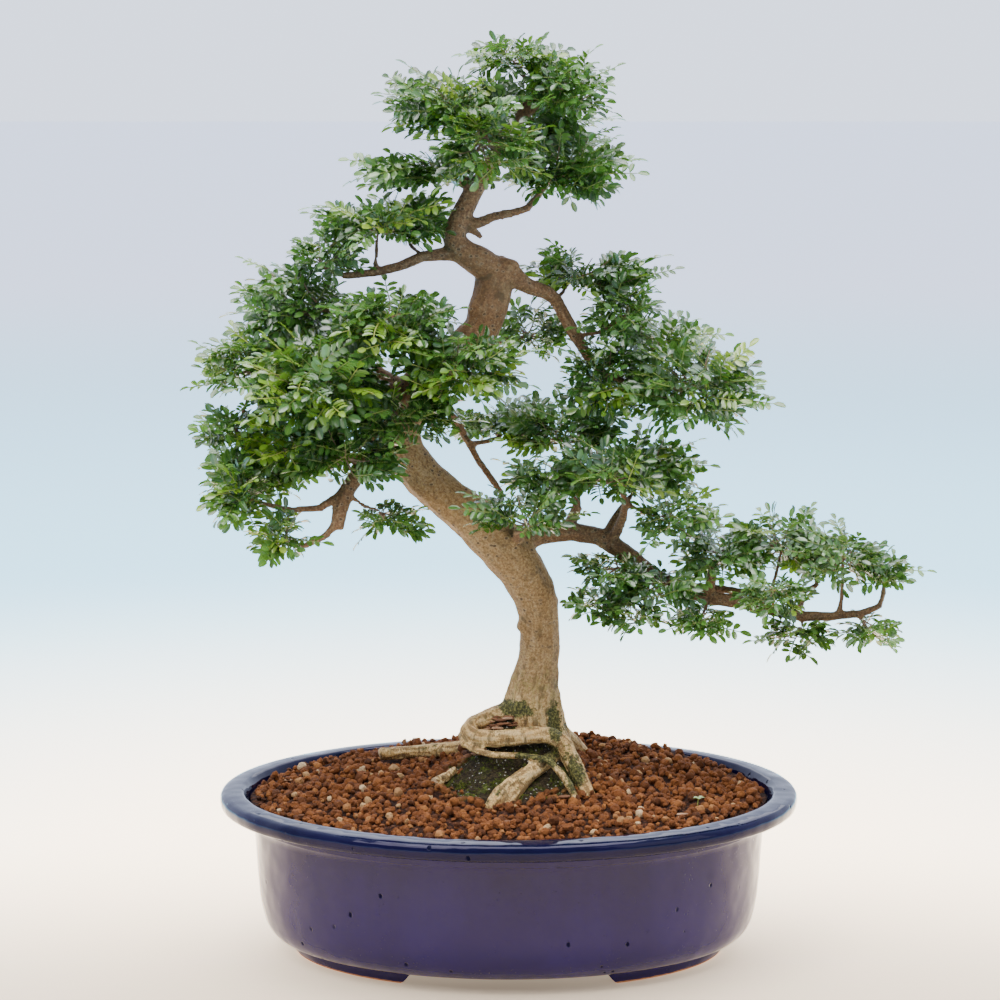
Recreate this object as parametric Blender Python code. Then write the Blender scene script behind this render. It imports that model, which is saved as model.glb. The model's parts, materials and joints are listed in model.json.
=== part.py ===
"""Chinese pepper bonsai in an oval glazed pot.

Metres, +Z up, feet on z = 0. Routes and sizes listed in millimetres are scaled by MM.
The front of the tree looks along -Y.
"""

import math
import random

import bmesh
import bpy
from mathutils import Matrix, Quaternion, Vector
from mathutils.bvhtree import BVHTree
from mathutils.geometry import delaunay_2d_cdt

MM = 0.001
CLEARANCE = 0.0004  # left between pieces that touch
WELD = 0.000005

# Pot: an oval bowl. A profile point is (distance in from the rim's edge, height).
RIM_LENGTH = 0.400
RIM_WIDTH = 0.300
OVAL_SEGMENTS = 28
POT_OUTSIDE = ((47.5, 8.5), (40.5, 10.2), (34.5, 14.5), (29.5, 23), (26, 40), (22, 97.5))
POT_FLANGE = ((4, 100.5), (0.6, 103), (0, 107), (1.4, 110.8), (14, 112.9), (16.2, 112.4))
POT_INSIDE = ((18.4, 108.5), (20.5, 103), (29, 90), (34, 34), (46, 18), (54, 15))
FOOT_BAND = ((48.5, 9.5), (50, 0), (61, 0), (60, 9.5))
FOOT_GAP_FRONT = (0.146, 0.126)  # length at the bottom and at the top
FOOT_GAP_END = (0.040, 0.028)
FOOT_HEIGHT = 0.0085
FLOOR_TOP = 0.015
DRAIN_X = 0.072
DRAIN_DIAMETER = 0.018
DRAIN_SEGMENTS = 12

# Drain screens: square plates with two rows of two openings.
SCREEN_SIDE = 0.033
SCREEN_THICKNESS = 0.0015
SCREEN_OPENING = 0.009
SCREEN_PITCH = 0.012

# Soil: a dome with granules in relief on a triangular lattice.
SOIL_SIDE = ((20.6, 103), (29, 90), (34, 34), (46, 18), (54, 15))
SOIL_EDGE_HEIGHT = 0.105
SOIL_DOME = 0.016
SOIL_BACK_HEAP = (0.011, 0.030, 0.110, 0.115, 0.055)  # height, centre x and y, reach in x and y
SOIL_MOUND = (0.034, 0.008, 0.008, 0.036, 0.036)
GRANULE_SEED = 11
GRANULE_LATTICE = 0.0148
GRANULE_RISE = 0.0028
GRANULE_DIP = 0.0016
GRANULE_SHAKE = 0.12  # of the lattice's pitch
GRANULE_BORDER = 0.6
GRANULE_RISE_SHARES = (0.6, 1.2)
GRANULE_DIP_SHARES = (0.3, 1.2)

# Wood: every route is a hand-placed list of (x, y, z, radius) in millimetres.
TRUNK_LOWER = (
    (24, 15, 98, 24), (23, 15, 118, 24.5), (21, 15, 138, 23), (18, 15, 155, 22.2), (17, 15, 170, 21),
    (18, 14, 185, 17.8), (21, 13, 200, 14.5), (22, 12, 216, 13.9), (21, 9, 234, 14), (17, 7, 250, 15.2),
    (8, 5, 265, 16.2), (-6, 3, 283, 16.9), (-22, 1, 299, 15.8), (-40, 0, 313, 14.2), (-58, 0, 329, 14.3),
    (-71, 1, 346, 14), (-75, 3, 364, 13.6), (-67, 7, 384, 13.6), (-52, 9, 401, 13.5), (-33, 11, 415, 12.9),
    (-19, 14, 429, 12), (-13, 15, 445, 13.6), (-10, 15, 460, 13), (-5, 14, 470, 10.6), (0, 14, 476, 6),
)
TRUNK_UPPER = (
    (-4, 14, 464, 9.5), (-12, 13, 471, 10.2), (-23, 10, 477, 10), (-32, 8, 483, 9.4), (-37, 6, 492, 8.2),
    (-35, 5, 502, 7.2), (-30, 4, 512, 6.8), (-24, 3, 523, 6.3), (-14, 1, 538, 5.5), (-6, 0, 552, 4.9),
    (3, 1, 566, 4), (13, 3, 582, 3.1), (18, 3, 595, 2.2),
)
ROOTS = {
    "loop": (
        (2, 10, 163, 9), (-14, 4, 160, 7), (-24, -1, 157, 6.6), (-28, -8, 154, 6.4), (-23, -15, 151.5, 6.3),
        (-10, -20, 151, 6.2), (3, -23, 153, 6.2), (16, -23, 155, 6.2),
        (28, -20, 154, 6.2), (37, -19, 148, 6.5),
        (42, -23, 139, 6.5), (47, -30, 129, 6.1), (53, -37, 119, 5.4), (58, -44, 108, 4.5),
    ),
    "thin": (
        (-33, -4, 151, 2.4), (-31, -15, 146, 2.3), (-22, -23, 143.5, 2.3), (-11, -30, 142.5, 2.4),
        (3, -33, 143, 2.4), (17, -33, 142, 2.4), (27, -35, 140, 2.7), (34, -40, 134, 3),
        (40, -45, 127, 3), (46, -52, 116, 2.6), (50, -57, 106, 2.2),
    ),
    "cut_left": (
        (4, 20, 138, 9), (-20, 36, 132, 6.6), (-40, 48, 127, 5.6),
        (-66, 55, 123.5, 5.2), (-92, 58, 121, 4.8),
    ),
    "stub_left": (
        (-10, 4, 140, 7), (-32, 2, 134, 4.6), (-44, -8, 128.5, 4),
        (-52, -22, 120, 3.4), (-56, -29, 110, 2.6),
    ),
    "diagonal": (
        (32, 4, 142, 9), (33, -14, 137, 6.6), (21, -29, 134, 6.2), (7, -43, 129, 5.9), (-6, -55, 122, 5.4),
        (-16, -67, 110, 4.2),
    ),
    "diagonal_fork": ((17, -32, 131, 4.4), (7, -49, 123.5, 4.2), (-1, -60, 114, 3.4), (-5, -67, 105, 2.8)),
    "right_buttress": (
        (28, 12, 186, 6), (32, 7, 168, 6.2), (34, 3, 152, 6.4), (40, -2, 134, 6.6), (47, -9, 116, 5.6),
    ),
    "nub": ((29, 13, 150, 6), (38, 10, 149, 4.6), (42.5, 9, 148, 3)),
    "back_right": ((24, 26, 158, 9), (36, 42, 141, 7), (48, 60, 127, 5.6), (58, 80, 112, 4.4)),
    "back_left": ((8, 28, 156, 9), (-4, 46, 142, 6.6), (-10, 66, 129, 5.4), (-12, 86, 113, 4.2)),
}
LIMBS = {
    "right": (
        (-6, 14, 466, 8.5), (4, 14, 464, 6.8), (14, 18, 458, 5.7), (26, 22, 454, 5.2), (32, 26, 449, 4.9),
        (38, 30, 438, 4.8), (46, 33, 423, 4.4), (55, 34, 409, 3.8), (66, 32, 396, 3.4), (84, 27, 390, 2.8),
        (108, 18, 390, 2.2),
    ),
    "shoulder": (
        (-30, 8, 481, 7), (-46, 5, 481, 4.8), (-58, -1, 480, 4), (-73, -10, 474, 3.5), (-90, -14, 470, 3),
        (-110, -18, 468, 2.4),
    ),
    "crown_right": (
        (-33, 5, 503, 5), (-20, 7, 502, 4.3), (-12, 4, 506, 3.6), (1, 0, 509, 3.2), (12, -3, 512, 3),
        (20, 0, 521, 2.6), (27, 4, 532, 2.1),
    ),
    "crown_stub": ((-30, 6, 500, 4), (-23, 12, 496, 3), (-19, 16, 492, 2.4)),
    "crown_left": ((-22, 2, 524, 5), (-34, 4, 533, 3.4), (-46, 6, 538, 2.6)),
    "crown_left_high": ((-6, 0, 552, 4), (-18, -3, 564, 3), (-30, -6, 573, 2.4)),
    "crown_right_high": ((6, 1, 570, 3.4), (18, -2, 580, 2.8), (28, -4, 587, 2.2)),
    "crown_back": ((-16, 1, 534, 4.6), (-10, 18, 545, 3.4), (-2, 34, 556, 2.6)),
    "back": (
        (-56, 9, 396, 7), (-45, 22, 381, 4.2), (-39, 28, 370, 3.4), (-30, 32, 353, 3.2), (-21, 36, 336, 3),
        (-12, 39, 323, 2.8), (-4, 42, 311, 2.3),
    ),
    "back_fork": ((-28, 33, 348, 2.4), (-16, 38, 349, 2.1), (-5, 46, 352, 1.8)),
    "back_high": ((-34, 14, 415, 5), (-16, 30, 418, 3.6), (2, 42, 421, 2.6)),
    "left": (
        (-66, 7, 382, 9), (-86, -4, 391, 6), (-106, -14, 402, 4.8),
        (-128, -18, 411, 3.8), (-150, -18, 413, 3),
        (-170, -18, 411, 2.4),
    ),
    "left_high": (
        (-46, 8, 406, 8), (-62, -8, 420, 4.8), (-80, -20, 434, 3.8),
        (-104, -18, 442, 3), (-128, -13, 447, 2.4),
    ),
    "left_back": ((-66, 8, 386, 8), (-84, 22, 396, 4.6), (-104, 34, 407, 3.4), (-122, 41, 414, 2.6)),
    "front": ((-48, 6, 403, 8), (-44, -14, 408, 4.4), (-38, -32, 411, 3.2), (-34, -42, 412, 2.4)),
    "low_left": (
        (-72, 2, 362, 10), (-84, -18, 355, 6.6), (-98, -31, 341, 6.1),
        (-109, -40, 325, 5.8), (-113, -44, 312, 5.4),
        (-115, -46, 301, 4.8),
    ),
    "low_left_under": (
        (-113, -44, 308, 3.4), (-122, -48, 297, 2.8), (-136, -54, 291, 2.4), (-148, -57, 293, 2),
    ),
    "low_left_side": (
        (-108, -38, 326, 4), (-126, -43, 315, 2.9), (-146, -47, 314, 2.4), (-166, -46, 319, 2),
    ),
    "low_left_high": ((-96, -29, 343, 4.6), (-112, -33, 350, 3.4), (-128, -36, 354, 2.6)),
    "low_left_back": ((-74, 4, 366, 8), (-94, 10, 356, 4.6), (-120, 12, 345, 3.4), (-146, 12, 337, 2.4)),
    "low_right": (
        (-6, 4, 274, 12), (5, 9, 283, 9), (22, 12, 288, 7.5), (42, 12, 290, 7), (62, 10, 287, 6.6),
        (74, 8, 280, 6.3), (86, 6, 272, 6), (98, 4, 262, 5.6), (118, 2, 252, 5.2), (138, 0, 246, 4.8),
        (159, -2, 243, 4.5), (180, -4, 238, 4.1), (201, -6, 234, 3.8),
        (221, -6, 234, 3.4), (241, -6, 236, 2.8),
        (254, -6, 241, 2.2), (257, -3, 249, 1.8),
    ),
    "low_right_up": (
        (70, 9, 282, 5), (75, 6, 293, 4.2), (78, 3, 301, 3.8), (80, -2, 312, 3.2), (77, -10, 321, 2.4),
    ),
    "low_right_back": ((66, 10, 286, 5), (74, 24, 298, 3.4), (84, 34, 310, 2.6)),
    "low_right_upper": (
        (122, 3, 252, 4.4), (142, 8, 251, 3.2), (160, 12, 248, 2.9),
        (181, 14, 246, 2.8), (202, 14, 247, 2.6),
        (213, 13, 252, 2.1),
    ),
    "low_right_cross": ((196, -5, 235, 3), (202, 2, 242, 2.4), (205, 12, 248, 2)),
    "low_right_upright": ((226, -6, 235, 2.6), (228, -8, 248, 2), (228, -11, 264, 1.7)),
    "low_right_stub": ((137, 0, 247, 4.6), (139, -3, 261, 4.2), (141, -5, 273, 3.8)),
    "centre": ((40, 12, 290, 6), (47, 13, 306, 3.8), (46, 18, 324, 2.9), (40, 22, 338, 2.3)),
    "centre_front": ((6, 7, 284, 7), (6, -12, 290, 3.6), (5, -28, 296, 2.5)),
}
TWIG_START_RADIUS = 2.0 * MM
TWIG_END_RADIUS = 1.4 * MM
TWIG_BOW = 0.10  # of its length
TWIG_NEEDED = 0.50  # of a spray's least half size: a limb that ends closer needs no twig
SLENDER = 4.5  # a limb thinner than this has four sides
CUTTER_SWELL = 1.25  # widens a flat-sided tube so that its sides move out by the full distance
# Swellings of the bark: (x, y, z), how far they stand out, how wide they are.
KNOTS = (
    ((-38, -15, 306), 3.0, 8),
    ((6, 8, 226), 2.4, 6),
    ((12, -10, 291), 2.2, 8),
    ((-30, -2, 331), 2.4, 7),
    ((-22, 16, 462), 2.0, 7),
)
FLUTES = 5
FLUTE_TURN = 0.6
FLUTE_DEPTH = 1.6 * MM
FLUTE_TOP = 0.205
FLUTE_FADE = 0.05
TRUNK_AXIS = Vector((0.020, 0.015, 0))

# Leafy sprays: centre and half sizes in millimetres, number of leaves.
SPRAYS = {
    "crown_top": ((1, 2, 609), (21, 22, 20), 4),
    "crown_right": ((36, -6, 590), (32, 28, 25), 5),
    "crown_left": ((-41, -8, 579), (37, 30, 27), 5),
    "crown_left_low": ((-57, 8, 541), (34, 28, 24), 4),
    "crown_right_low": ((34, 6, 541), (38, 32, 28), 6),
    "crown_back": ((4, 50, 564), (43, 26, 36), 5),
    "crown_front": ((-18, -38, 560), (30, 20, 28), 4),
    "shoulder": ((-88, -10, 497), (39, 28, 23), 5),
    "shoulder_tip": ((-127, -20, 477), (23, 20, 16), 3),
    "shoulder_back": ((-75, 36, 501), (30, 22, 18), 2),
    "left_top": ((-140, -12, 448), (42, 32, 26), 5),
    "left_inner": ((-80, -32, 445), (41, 30, 29), 5),
    "left_tip": ((-182, -18, 410), (32, 30, 28), 5),
    "left_front": ((-124, -44, 400), (46, 32, 29), 6),
    "left_over_trunk": ((-31, -50, 413), (38, 22, 24), 5),
    "left_back": ((-127, 42, 416), (54, 32, 33), 5),
    "low_left": ((-143, -38, 355), (40, 30, 25), 4),
    "low_left_tip": ((-180, -44, 326), (34, 28, 21), 5),
    "low_left_hang": ((-86, -42, 313), (16, 12, 11), 2),
    "low_left_under": ((-149, -58, 296), (20, 18, 13), 3),
    "low_left_back": ((-164, 14, 334), (36, 24, 23), 4),
    "right_high": ((44, 42, 464), (40, 24, 19), 4),
    "right_mid": ((79, 18, 437), (34, 26, 22), 4),
    "right_inner": ((67, 28, 388), (30, 26, 26), 4),
    "right_tip": ((129, 8, 392), (41, 30, 29), 7),
    "right_back": ((111, 56, 415), (36, 22, 24), 3),
    "back_high": ((14, 52, 422), (20, 22, 25), 2),
    "back_low": ((-12, 62, 356), (30, 22, 24), 3),
    "centre_high": ((35, 24, 352), (32, 26, 29), 4),
    "centre_front": ((13, -40, 302), (36, 18, 22), 4),
    "centre_mid": ((70, -18, 329), (34, 26, 26), 4),
    "centre_back": ((92, 40, 323), (34, 24, 25), 4),
    "lower_inner": ((111, -10, 303), (30, 24, 23), 4),
    "lower_stub": ((149, 8, 279), (25, 26, 32), 4),
    "lower_under": ((99, -18, 256), (24, 16, 16), 3),
    "lower_hang": ((131, -12, 234), (25, 14, 12), 2),
    "lower_wisp": ((58, -14, 241), (10, 8, 6), 2),
    "lower_drop": ((89, -18, 232), (10, 8, 10), 2),
    "far_inner": ((189, 14, 280), (25, 24, 25), 4),
    "far_mid": ((227, -14, 280), (27, 24, 22), 4),
    "far_tip": ((258, 4, 259), (17, 18, 17), 3),
    "far_under": ((201, -10, 227), (21, 14, 10), 2),
    "far_drop": ((241, -8, 232), (7, 8, 7), 2),
    "far_back": ((215, 42, 261), (28, 20, 20), 2),
    "left_centre": ((-66, -48, 371), (29, 24, 26), 4),
    "low_left_inner": ((-107, -54, 350), (27, 22, 24), 3),
    "left_low_side": ((-182, -26, 366), (28, 24, 22), 3),
    "centre_low": ((22, -12, 330), (27, 22, 20), 3),
    "lower_side": ((73, -20, 270), (18, 16, 24), 3),
    "far_front": ((180, -30, 257), (25, 18, 20), 3),
}
CORE_SHARE = 0.50  # of the spray's half sizes
CORE_TUFT = (1.10, 1.40)  # a core's corners stand out as tufts or dip in between them
CORE_DIP = (0.70, 0.95)
CORE_LEAST = 5.5 * MM
LEAF_LENGTH = (26 * MM, 58 * MM)
LEAF_PETIOLE = 9.0 * MM
LEAF_TERMINAL = 13.0 * MM
LEAFLET_PITCH = 15.0 * MM
LEAFLET_REACH = 13.0 * MM
LEAF_ROOT = 0.42  # of the way from the middle of the core to its surface
LEAF_SLANT = (0.30, 0.95)  # radians between a leaf and straight out of the spray
LEAF_STRETCH = 1.45  # length of a leaf over the room between its root and the spray's edge
LEAF_VARIATION = (0.9, 1.1)
LEAF_DROOP = (0.02, 0.16)
LEAF_SPREAD = (0.18, 0.90)  # how far a direction is shaken, at first and after many tries
LEAF_HEIGHTS = (0.92, 1.55)  # highest direction, and how far below it the lowest one lies
RIB_HALF_WIDTH = 1.0 * MM
RIB_RISE = 1.4 * MM
LEAFLET_LEAN = 0.10  # shares of the pitch: notch, inner and outer corner of a leaflet
LEAFLET_INNER = 0.16
LEAFLET_OUTER = 0.80
LEAFLET_SHOULDER = 0.94
LEAFLET_SAG = 0.18
TERMINAL_RIB = 0.2
TERMINAL_SHOULDER = (0.62, 0.42)
LEAF_MARGIN = 0.6 * MM
LEAF_LEAN = Vector((0, 0, 0.3))
LEAF_TRIES = 60
CORE_SEED = 100
LEAF_SEED = 1300
GOLDEN_ANGLE = math.pi * (3 - math.sqrt(5))


def clear_scene():
    for old in list(bpy.data.objects):
        bpy.data.objects.remove(old, do_unlink=True)


def new_collection(name, parent):
    collection = bpy.data.collections.new(name)
    parent.children.link(collection)
    return collection


def material(name, colour, roughness):
    made = bpy.data.materials.new(name)
    made.use_nodes = True
    shader = made.node_tree.nodes["Principled BSDF"]
    shader.inputs["Base Color"].default_value = (*colour, 1)
    shader.inputs["Roughness"].default_value = roughness
    shader.inputs["Metallic"].default_value = 0
    return made


def object_from(bm, name, collection):
    mesh = bpy.data.meshes.new(name)
    bmesh.ops.recalc_face_normals(bm, faces=bm.faces)
    bm.to_mesh(mesh)
    bm.free()
    made = bpy.data.objects.new(name, mesh)
    collection.objects.link(made)
    return made


def remove(obj):
    bpy.data.objects.remove(obj, do_unlink=True)


def is_closed(mesh):
    """True where every edge has two faces, also once near points are welded."""
    bm = bmesh.new()
    bm.from_mesh(mesh)
    bmesh.ops.remove_doubles(bm, verts=bm.verts, dist=WELD)
    closed = all(len(edge.link_faces) == 2 for edge in bm.edges)
    bm.free()
    return closed


def apply_boolean(target, operation, operands, solvers=("EXACT", "MANIFOLD")):
    """Join or cut target with every object of a collection.

    The second solver is for where the first leaves the body open.
    """
    modifier = target.modifiers.new(operation.lower(), "BOOLEAN")
    modifier.operation = operation
    modifier.operand_type = "COLLECTION"
    modifier.collection = operands
    for solver in solvers:
        modifier.solver = solver
        evaluated = target.evaluated_get(bpy.context.evaluated_depsgraph_get())
        mesh = bpy.data.meshes.new_from_object(evaluated)
        if is_closed(mesh):
            break
    target.modifiers.clear()
    target.data = mesh
    mesh.materials.clear()
    mesh.name = target.name


def empty_collection(collection):
    for obj in list(collection.objects):
        remove(obj)


def tidy_body(obj):
    """Weld, drop slivers and keep the largest connected body."""
    bm = bmesh.new()
    bm.from_mesh(obj.data)
    bmesh.ops.remove_doubles(bm, verts=bm.verts, dist=WELD)
    bmesh.ops.dissolve_degenerate(bm, edges=bm.edges, dist=WELD)
    bmesh.ops.triangulate(bm, faces=bm.faces)
    unseen = set(bm.verts)
    bodies = []
    while unseen:
        body = set()
        front = [unseen.pop()]
        while front:
            vert = front.pop()
            body.add(vert)
            near = {edge.other_vert(vert) for edge in vert.link_edges} & unseen
            unseen -= near
            front.extend(near)
        bodies.append(body)
    largest = max(bodies, key=len)
    scraps = [vert for body in bodies if body is not largest for vert in body]
    bmesh.ops.delete(bm, geom=scraps, context="VERTS")
    bm.to_mesh(obj.data)
    bm.free()


def oval(inset, height):
    """Points of the rim's oval, moved in by inset."""
    half_length = RIM_LENGTH / 2 - inset
    half_width = RIM_WIDTH / 2 - inset
    angles = [2 * math.pi * i / OVAL_SEGMENTS for i in range(OVAL_SEGMENTS)]
    return [Vector((half_length * math.cos(a), half_width * math.sin(a), height)) for a in angles]


def bridge(bm, lower, upper):
    for i, vert in enumerate(lower):
        j = (i + 1) % len(lower)
        bm.faces.new((vert, lower[j], upper[j], upper[i]))


def lofted(profile, name, collection, ring_shaped=False):
    """A solid through the ovals of a profile, capped at both ends or closed into a ring."""
    bm = bmesh.new()
    loops = [[bm.verts.new(p) for p in oval(inset * MM, height * MM)] for inset, height in profile]
    for lower, upper in zip(loops, loops[1:]):
        bridge(bm, lower, upper)
    if ring_shaped:
        bridge(bm, loops[-1], loops[0])
    else:
        bm.faces.new(loops[0][::-1])
        bm.faces.new(loops[-1])
    return object_from(bm, name, collection)


def gap_cutter(widths, direction, cutters):
    """A bar with sloping ends that opens the foot ring on two opposite sides."""
    bm = bmesh.new()
    bmesh.ops.create_cube(bm, size=1)
    for vert in bm.verts:
        width = widths[1] if vert.co.z > 0 else widths[0]
        vert.co = Vector((vert.co.x * width, vert.co.y * 2 * RIM_LENGTH, vert.co.z * 2 * FOOT_HEIGHT))
    for vert in bm.verts:
        if vert.co.z < 0:
            vert.co.x += math.copysign(widths[0] - widths[1], vert.co.x) / 2
    bmesh.ops.rotate(bm, verts=bm.verts, matrix=Matrix.Rotation(direction, 3, "Z"))
    object_from(bm, "foot_gap", cutters)


def drain_cutter(x, cutters):
    bm = bmesh.new()
    radius = DRAIN_DIAMETER / 2
    bmesh.ops.create_cone(
        bm, cap_ends=True, segments=DRAIN_SEGMENTS, radius1=radius, radius2=radius, depth=4 * FLOOR_TOP
    )
    bmesh.ops.translate(bm, verts=bm.verts, vec=(x, 0, 0))
    object_from(bm, "drain", cutters)


def make_pot(model, cutters):
    feet = lofted(FOOT_BAND, "feet", cutters, ring_shaped=True)
    gaps = new_collection("foot_gaps", cutters)
    gap_cutter(FOOT_GAP_FRONT, 0, gaps)
    gap_cutter(FOOT_GAP_END, math.pi / 2, gaps)
    apply_boolean(feet, "DIFFERENCE", gaps)
    empty_collection(gaps)
    cutters.objects.unlink(feet)
    joined = new_collection("foot_band", cutters)
    joined.objects.link(feet)
    pot = lofted(POT_OUTSIDE + POT_FLANGE + POT_INSIDE, "pot", model)
    apply_boolean(pot, "UNION", joined)
    empty_collection(joined)
    drains = new_collection("drains", cutters)
    for x in (-DRAIN_X, DRAIN_X):
        drain_cutter(x, drains)
    apply_boolean(pot, "DIFFERENCE", drains)
    empty_collection(drains)
    tidy_body(pot)
    pot.data.materials.append(material("cobalt_glaze", (0.020, 0.022, 0.140), 0.08))
    return pot


def box(size, centre, name, collection):
    bm = bmesh.new()
    bmesh.ops.create_cube(bm, size=1)
    for vert in bm.verts:
        vert.co = Vector([co * side for co, side in zip(vert.co, size)]) + centre
    return object_from(bm, name, collection)


def make_screen(name, x, model, cutters, plastic):
    height = FLOOR_TOP + CLEARANCE + SCREEN_THICKNESS / 2
    screen = box((SCREEN_SIDE, SCREEN_SIDE, SCREEN_THICKNESS), Vector((x, 0, height)), name, model)
    openings = new_collection("openings", cutters)
    for column in (-0.5, 0.5):
        for row in (-0.5, 0.5):
            centre = Vector((x + column * SCREEN_PITCH, row * SCREEN_PITCH, height))
            box((SCREEN_OPENING, SCREEN_OPENING, 3 * SCREEN_THICKNESS), centre, "opening", openings)
    apply_boolean(screen, "DIFFERENCE", openings)
    empty_collection(openings)
    tidy_body(screen)
    screen.data.materials.append(plastic)
    return screen


def heap_height(x, y, heap):
    height, centre_x, centre_y, reach_x, reach_y = heap
    return height * math.exp(-(((x - centre_x) / reach_x) ** 2) - ((y - centre_y) / reach_y) ** 2)


def soil_height(x, y):
    """Height of the soil without its granules: a dome, heaped at the back and round the roots."""
    out = (x / (RIM_LENGTH / 2)) ** 2 + (y / (RIM_WIDTH / 2)) ** 2
    dome = SOIL_DOME * max(0, 1 - out)
    return SOIL_EDGE_HEIGHT + dome + heap_height(x, y, SOIL_BACK_HEAP) + heap_height(x, y, SOIL_MOUND)


def lattice_points(edge, rng):
    """Points of a triangular lattice inside the edge; every third one is the top of a granule."""
    points = []
    rows = int(RIM_WIDTH / GRANULE_LATTICE)
    columns = int(RIM_LENGTH / GRANULE_LATTICE)
    limit_x = max(p.x for p in edge) - GRANULE_BORDER * GRANULE_LATTICE
    limit_y = max(p.y for p in edge) - GRANULE_BORDER * GRANULE_LATTICE
    for row in range(-rows, rows + 1):
        for column in range(-columns, columns + 1):
            x = (column + 0.5 * (row % 2) + rng.uniform(-GRANULE_SHAKE, GRANULE_SHAKE)) * GRANULE_LATTICE
            y = (row * math.sqrt(3) / 2 + rng.uniform(-GRANULE_SHAKE, GRANULE_SHAKE)) * GRANULE_LATTICE
            if (x / limit_x) ** 2 + (y / limit_y) ** 2 > 1:
                continue
            is_top = (column - (row // 2)) % 3 == (row % 2)
            if is_top:
                lift = GRANULE_RISE * rng.uniform(*GRANULE_RISE_SHARES)
            else:
                lift = -GRANULE_DIP * rng.uniform(*GRANULE_DIP_SHARES)
            points.append(Vector((x, y, soil_height(x, y) + lift)))
    return points


def make_soil(model, cutters, wood_cutters):
    rng = random.Random(GRANULE_SEED)
    side = [(inset + CLEARANCE / MM, height) for inset, height in SOIL_SIDE]
    side[-1] = (side[-1][0], FLOOR_TOP / MM + CLEARANCE / MM)
    rings = [oval(inset * MM, height * MM) for inset, height in side]
    edge = [Vector((p.x, p.y, soil_height(p.x, p.y))) for p in rings[0]]
    points = edge + lattice_points(edge, rng)
    flat = [p.to_2d() for p in points]
    border = [(i, (i + 1) % len(edge)) for i in range(len(edge))]
    triangles = delaunay_2d_cdt(flat, border, [], 1, MM * MM)[2]
    bm = bmesh.new()
    verts = [bm.verts.new(p) for p in points]
    for triangle in triangles:
        bm.faces.new([verts[i] for i in triangle])
    upper = verts[: len(edge)]
    for ring in rings[1:]:
        lower = [bm.verts.new(p) for p in ring]
        bridge(bm, lower, upper)
        upper = lower
    bm.faces.new(upper[::-1])
    soil = object_from(bm, "soil", model)
    pockets = new_collection("pockets", cutters)
    for x in (-DRAIN_X, DRAIN_X):
        side_length = SCREEN_SIDE + 2 * CLEARANCE
        depth = 2 * (SCREEN_THICKNESS + CLEARANCE)
        box((side_length, side_length, depth), Vector((x, 0, FLOOR_TOP + CLEARANCE)), "pocket", pockets)
    apply_boolean(soil, "DIFFERENCE", pockets)
    empty_collection(pockets)
    apply_boolean(soil, "DIFFERENCE", wood_cutters)
    tidy_body(soil)
    soil.data.materials.append(material("baked_clay_granules", (0.300, 0.110, 0.050), 0.95))
    return soil


def scaled(route):
    return [(Vector(point[:3]) * MM, point[3] * MM) for point in route]


def tube(route, name, collection, resolution, grow=0.0):
    """A capped tube along a route of (place, radius), made a mesh; grow widens and lengthens it."""
    curve = bpy.data.curves.new(name, "CURVE")
    curve.dimensions = "3D"
    curve.bevel_depth = 1.0
    curve.bevel_resolution = resolution
    curve.use_fill_caps = True
    spline = curve.splines.new("POLY")
    spline.points.add(len(route) - 1)
    places = [place.copy() for place, _ in route]
    places[0] += (route[0][0] - route[1][0]).normalized() * grow
    places[-1] += (route[-1][0] - route[-2][0]).normalized() * grow
    for point, place, (_, radius) in zip(spline.points, places, route):
        point.co = (*place, 1)
        point.radius = radius + CUTTER_SWELL * grow
    drawn = bpy.data.objects.new(name, curve)
    collection.objects.link(drawn)
    evaluated = drawn.evaluated_get(bpy.context.evaluated_depsgraph_get())
    mesh = bpy.data.meshes.new_from_object(evaluated)
    made = bpy.data.objects.new(name, mesh)
    made.matrix_world = drawn.matrix_world
    remove(drawn)
    collection.objects.link(made)
    bm = bmesh.new()
    bm.from_mesh(mesh)
    bmesh.ops.remove_doubles(bm, verts=bm.verts, dist=WELD)
    bmesh.ops.recalc_face_normals(bm, faces=bm.faces)
    bm.to_mesh(mesh)
    bm.free()
    return made


def bark_relief(place):
    """Outward push of the trunk's surface at a place: flutes at the base, and knots."""
    around = place - TRUNK_AXIS
    angle = math.atan2(around.y, around.x)
    fade = min(1, max(0, (FLUTE_TOP - place.z) / FLUTE_FADE))
    push = FLUTE_DEPTH * fade * math.cos(FLUTES * angle + FLUTE_TURN)
    for centre, height, width in KNOTS:
        far = (place - Vector(centre) * MM).length
        push += height * MM * math.exp(-((far / (width * MM)) ** 2))
    return push


def trunk_tube(route, name, collection, grow=0.0):
    made = tube(scaled(route), name, collection, 3, grow)
    for vert in made.data.vertices:
        vert.co += vert.normal * bark_relief(vert.co)
    return made


def limb_places():
    routes = [scaled(route) for route in LIMBS.values()]
    routes.append(scaled(TRUNK_UPPER))
    return [place for route in routes for place, _ in route[1:]]


def twig_route(centre, places):
    """From the nearest limb to the middle of a spray, in one gentle bow."""
    start = min(places, key=lambda place: (place - centre).length)
    span = centre - start
    middle = start + span * 0.5 - Vector((0, 0, TWIG_BOW * span.length))
    radius = (TWIG_START_RADIUS + TWIG_END_RADIUS) / 2
    return [(start, TWIG_START_RADIUS), (middle, radius), (centre, TWIG_END_RADIUS)]


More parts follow.
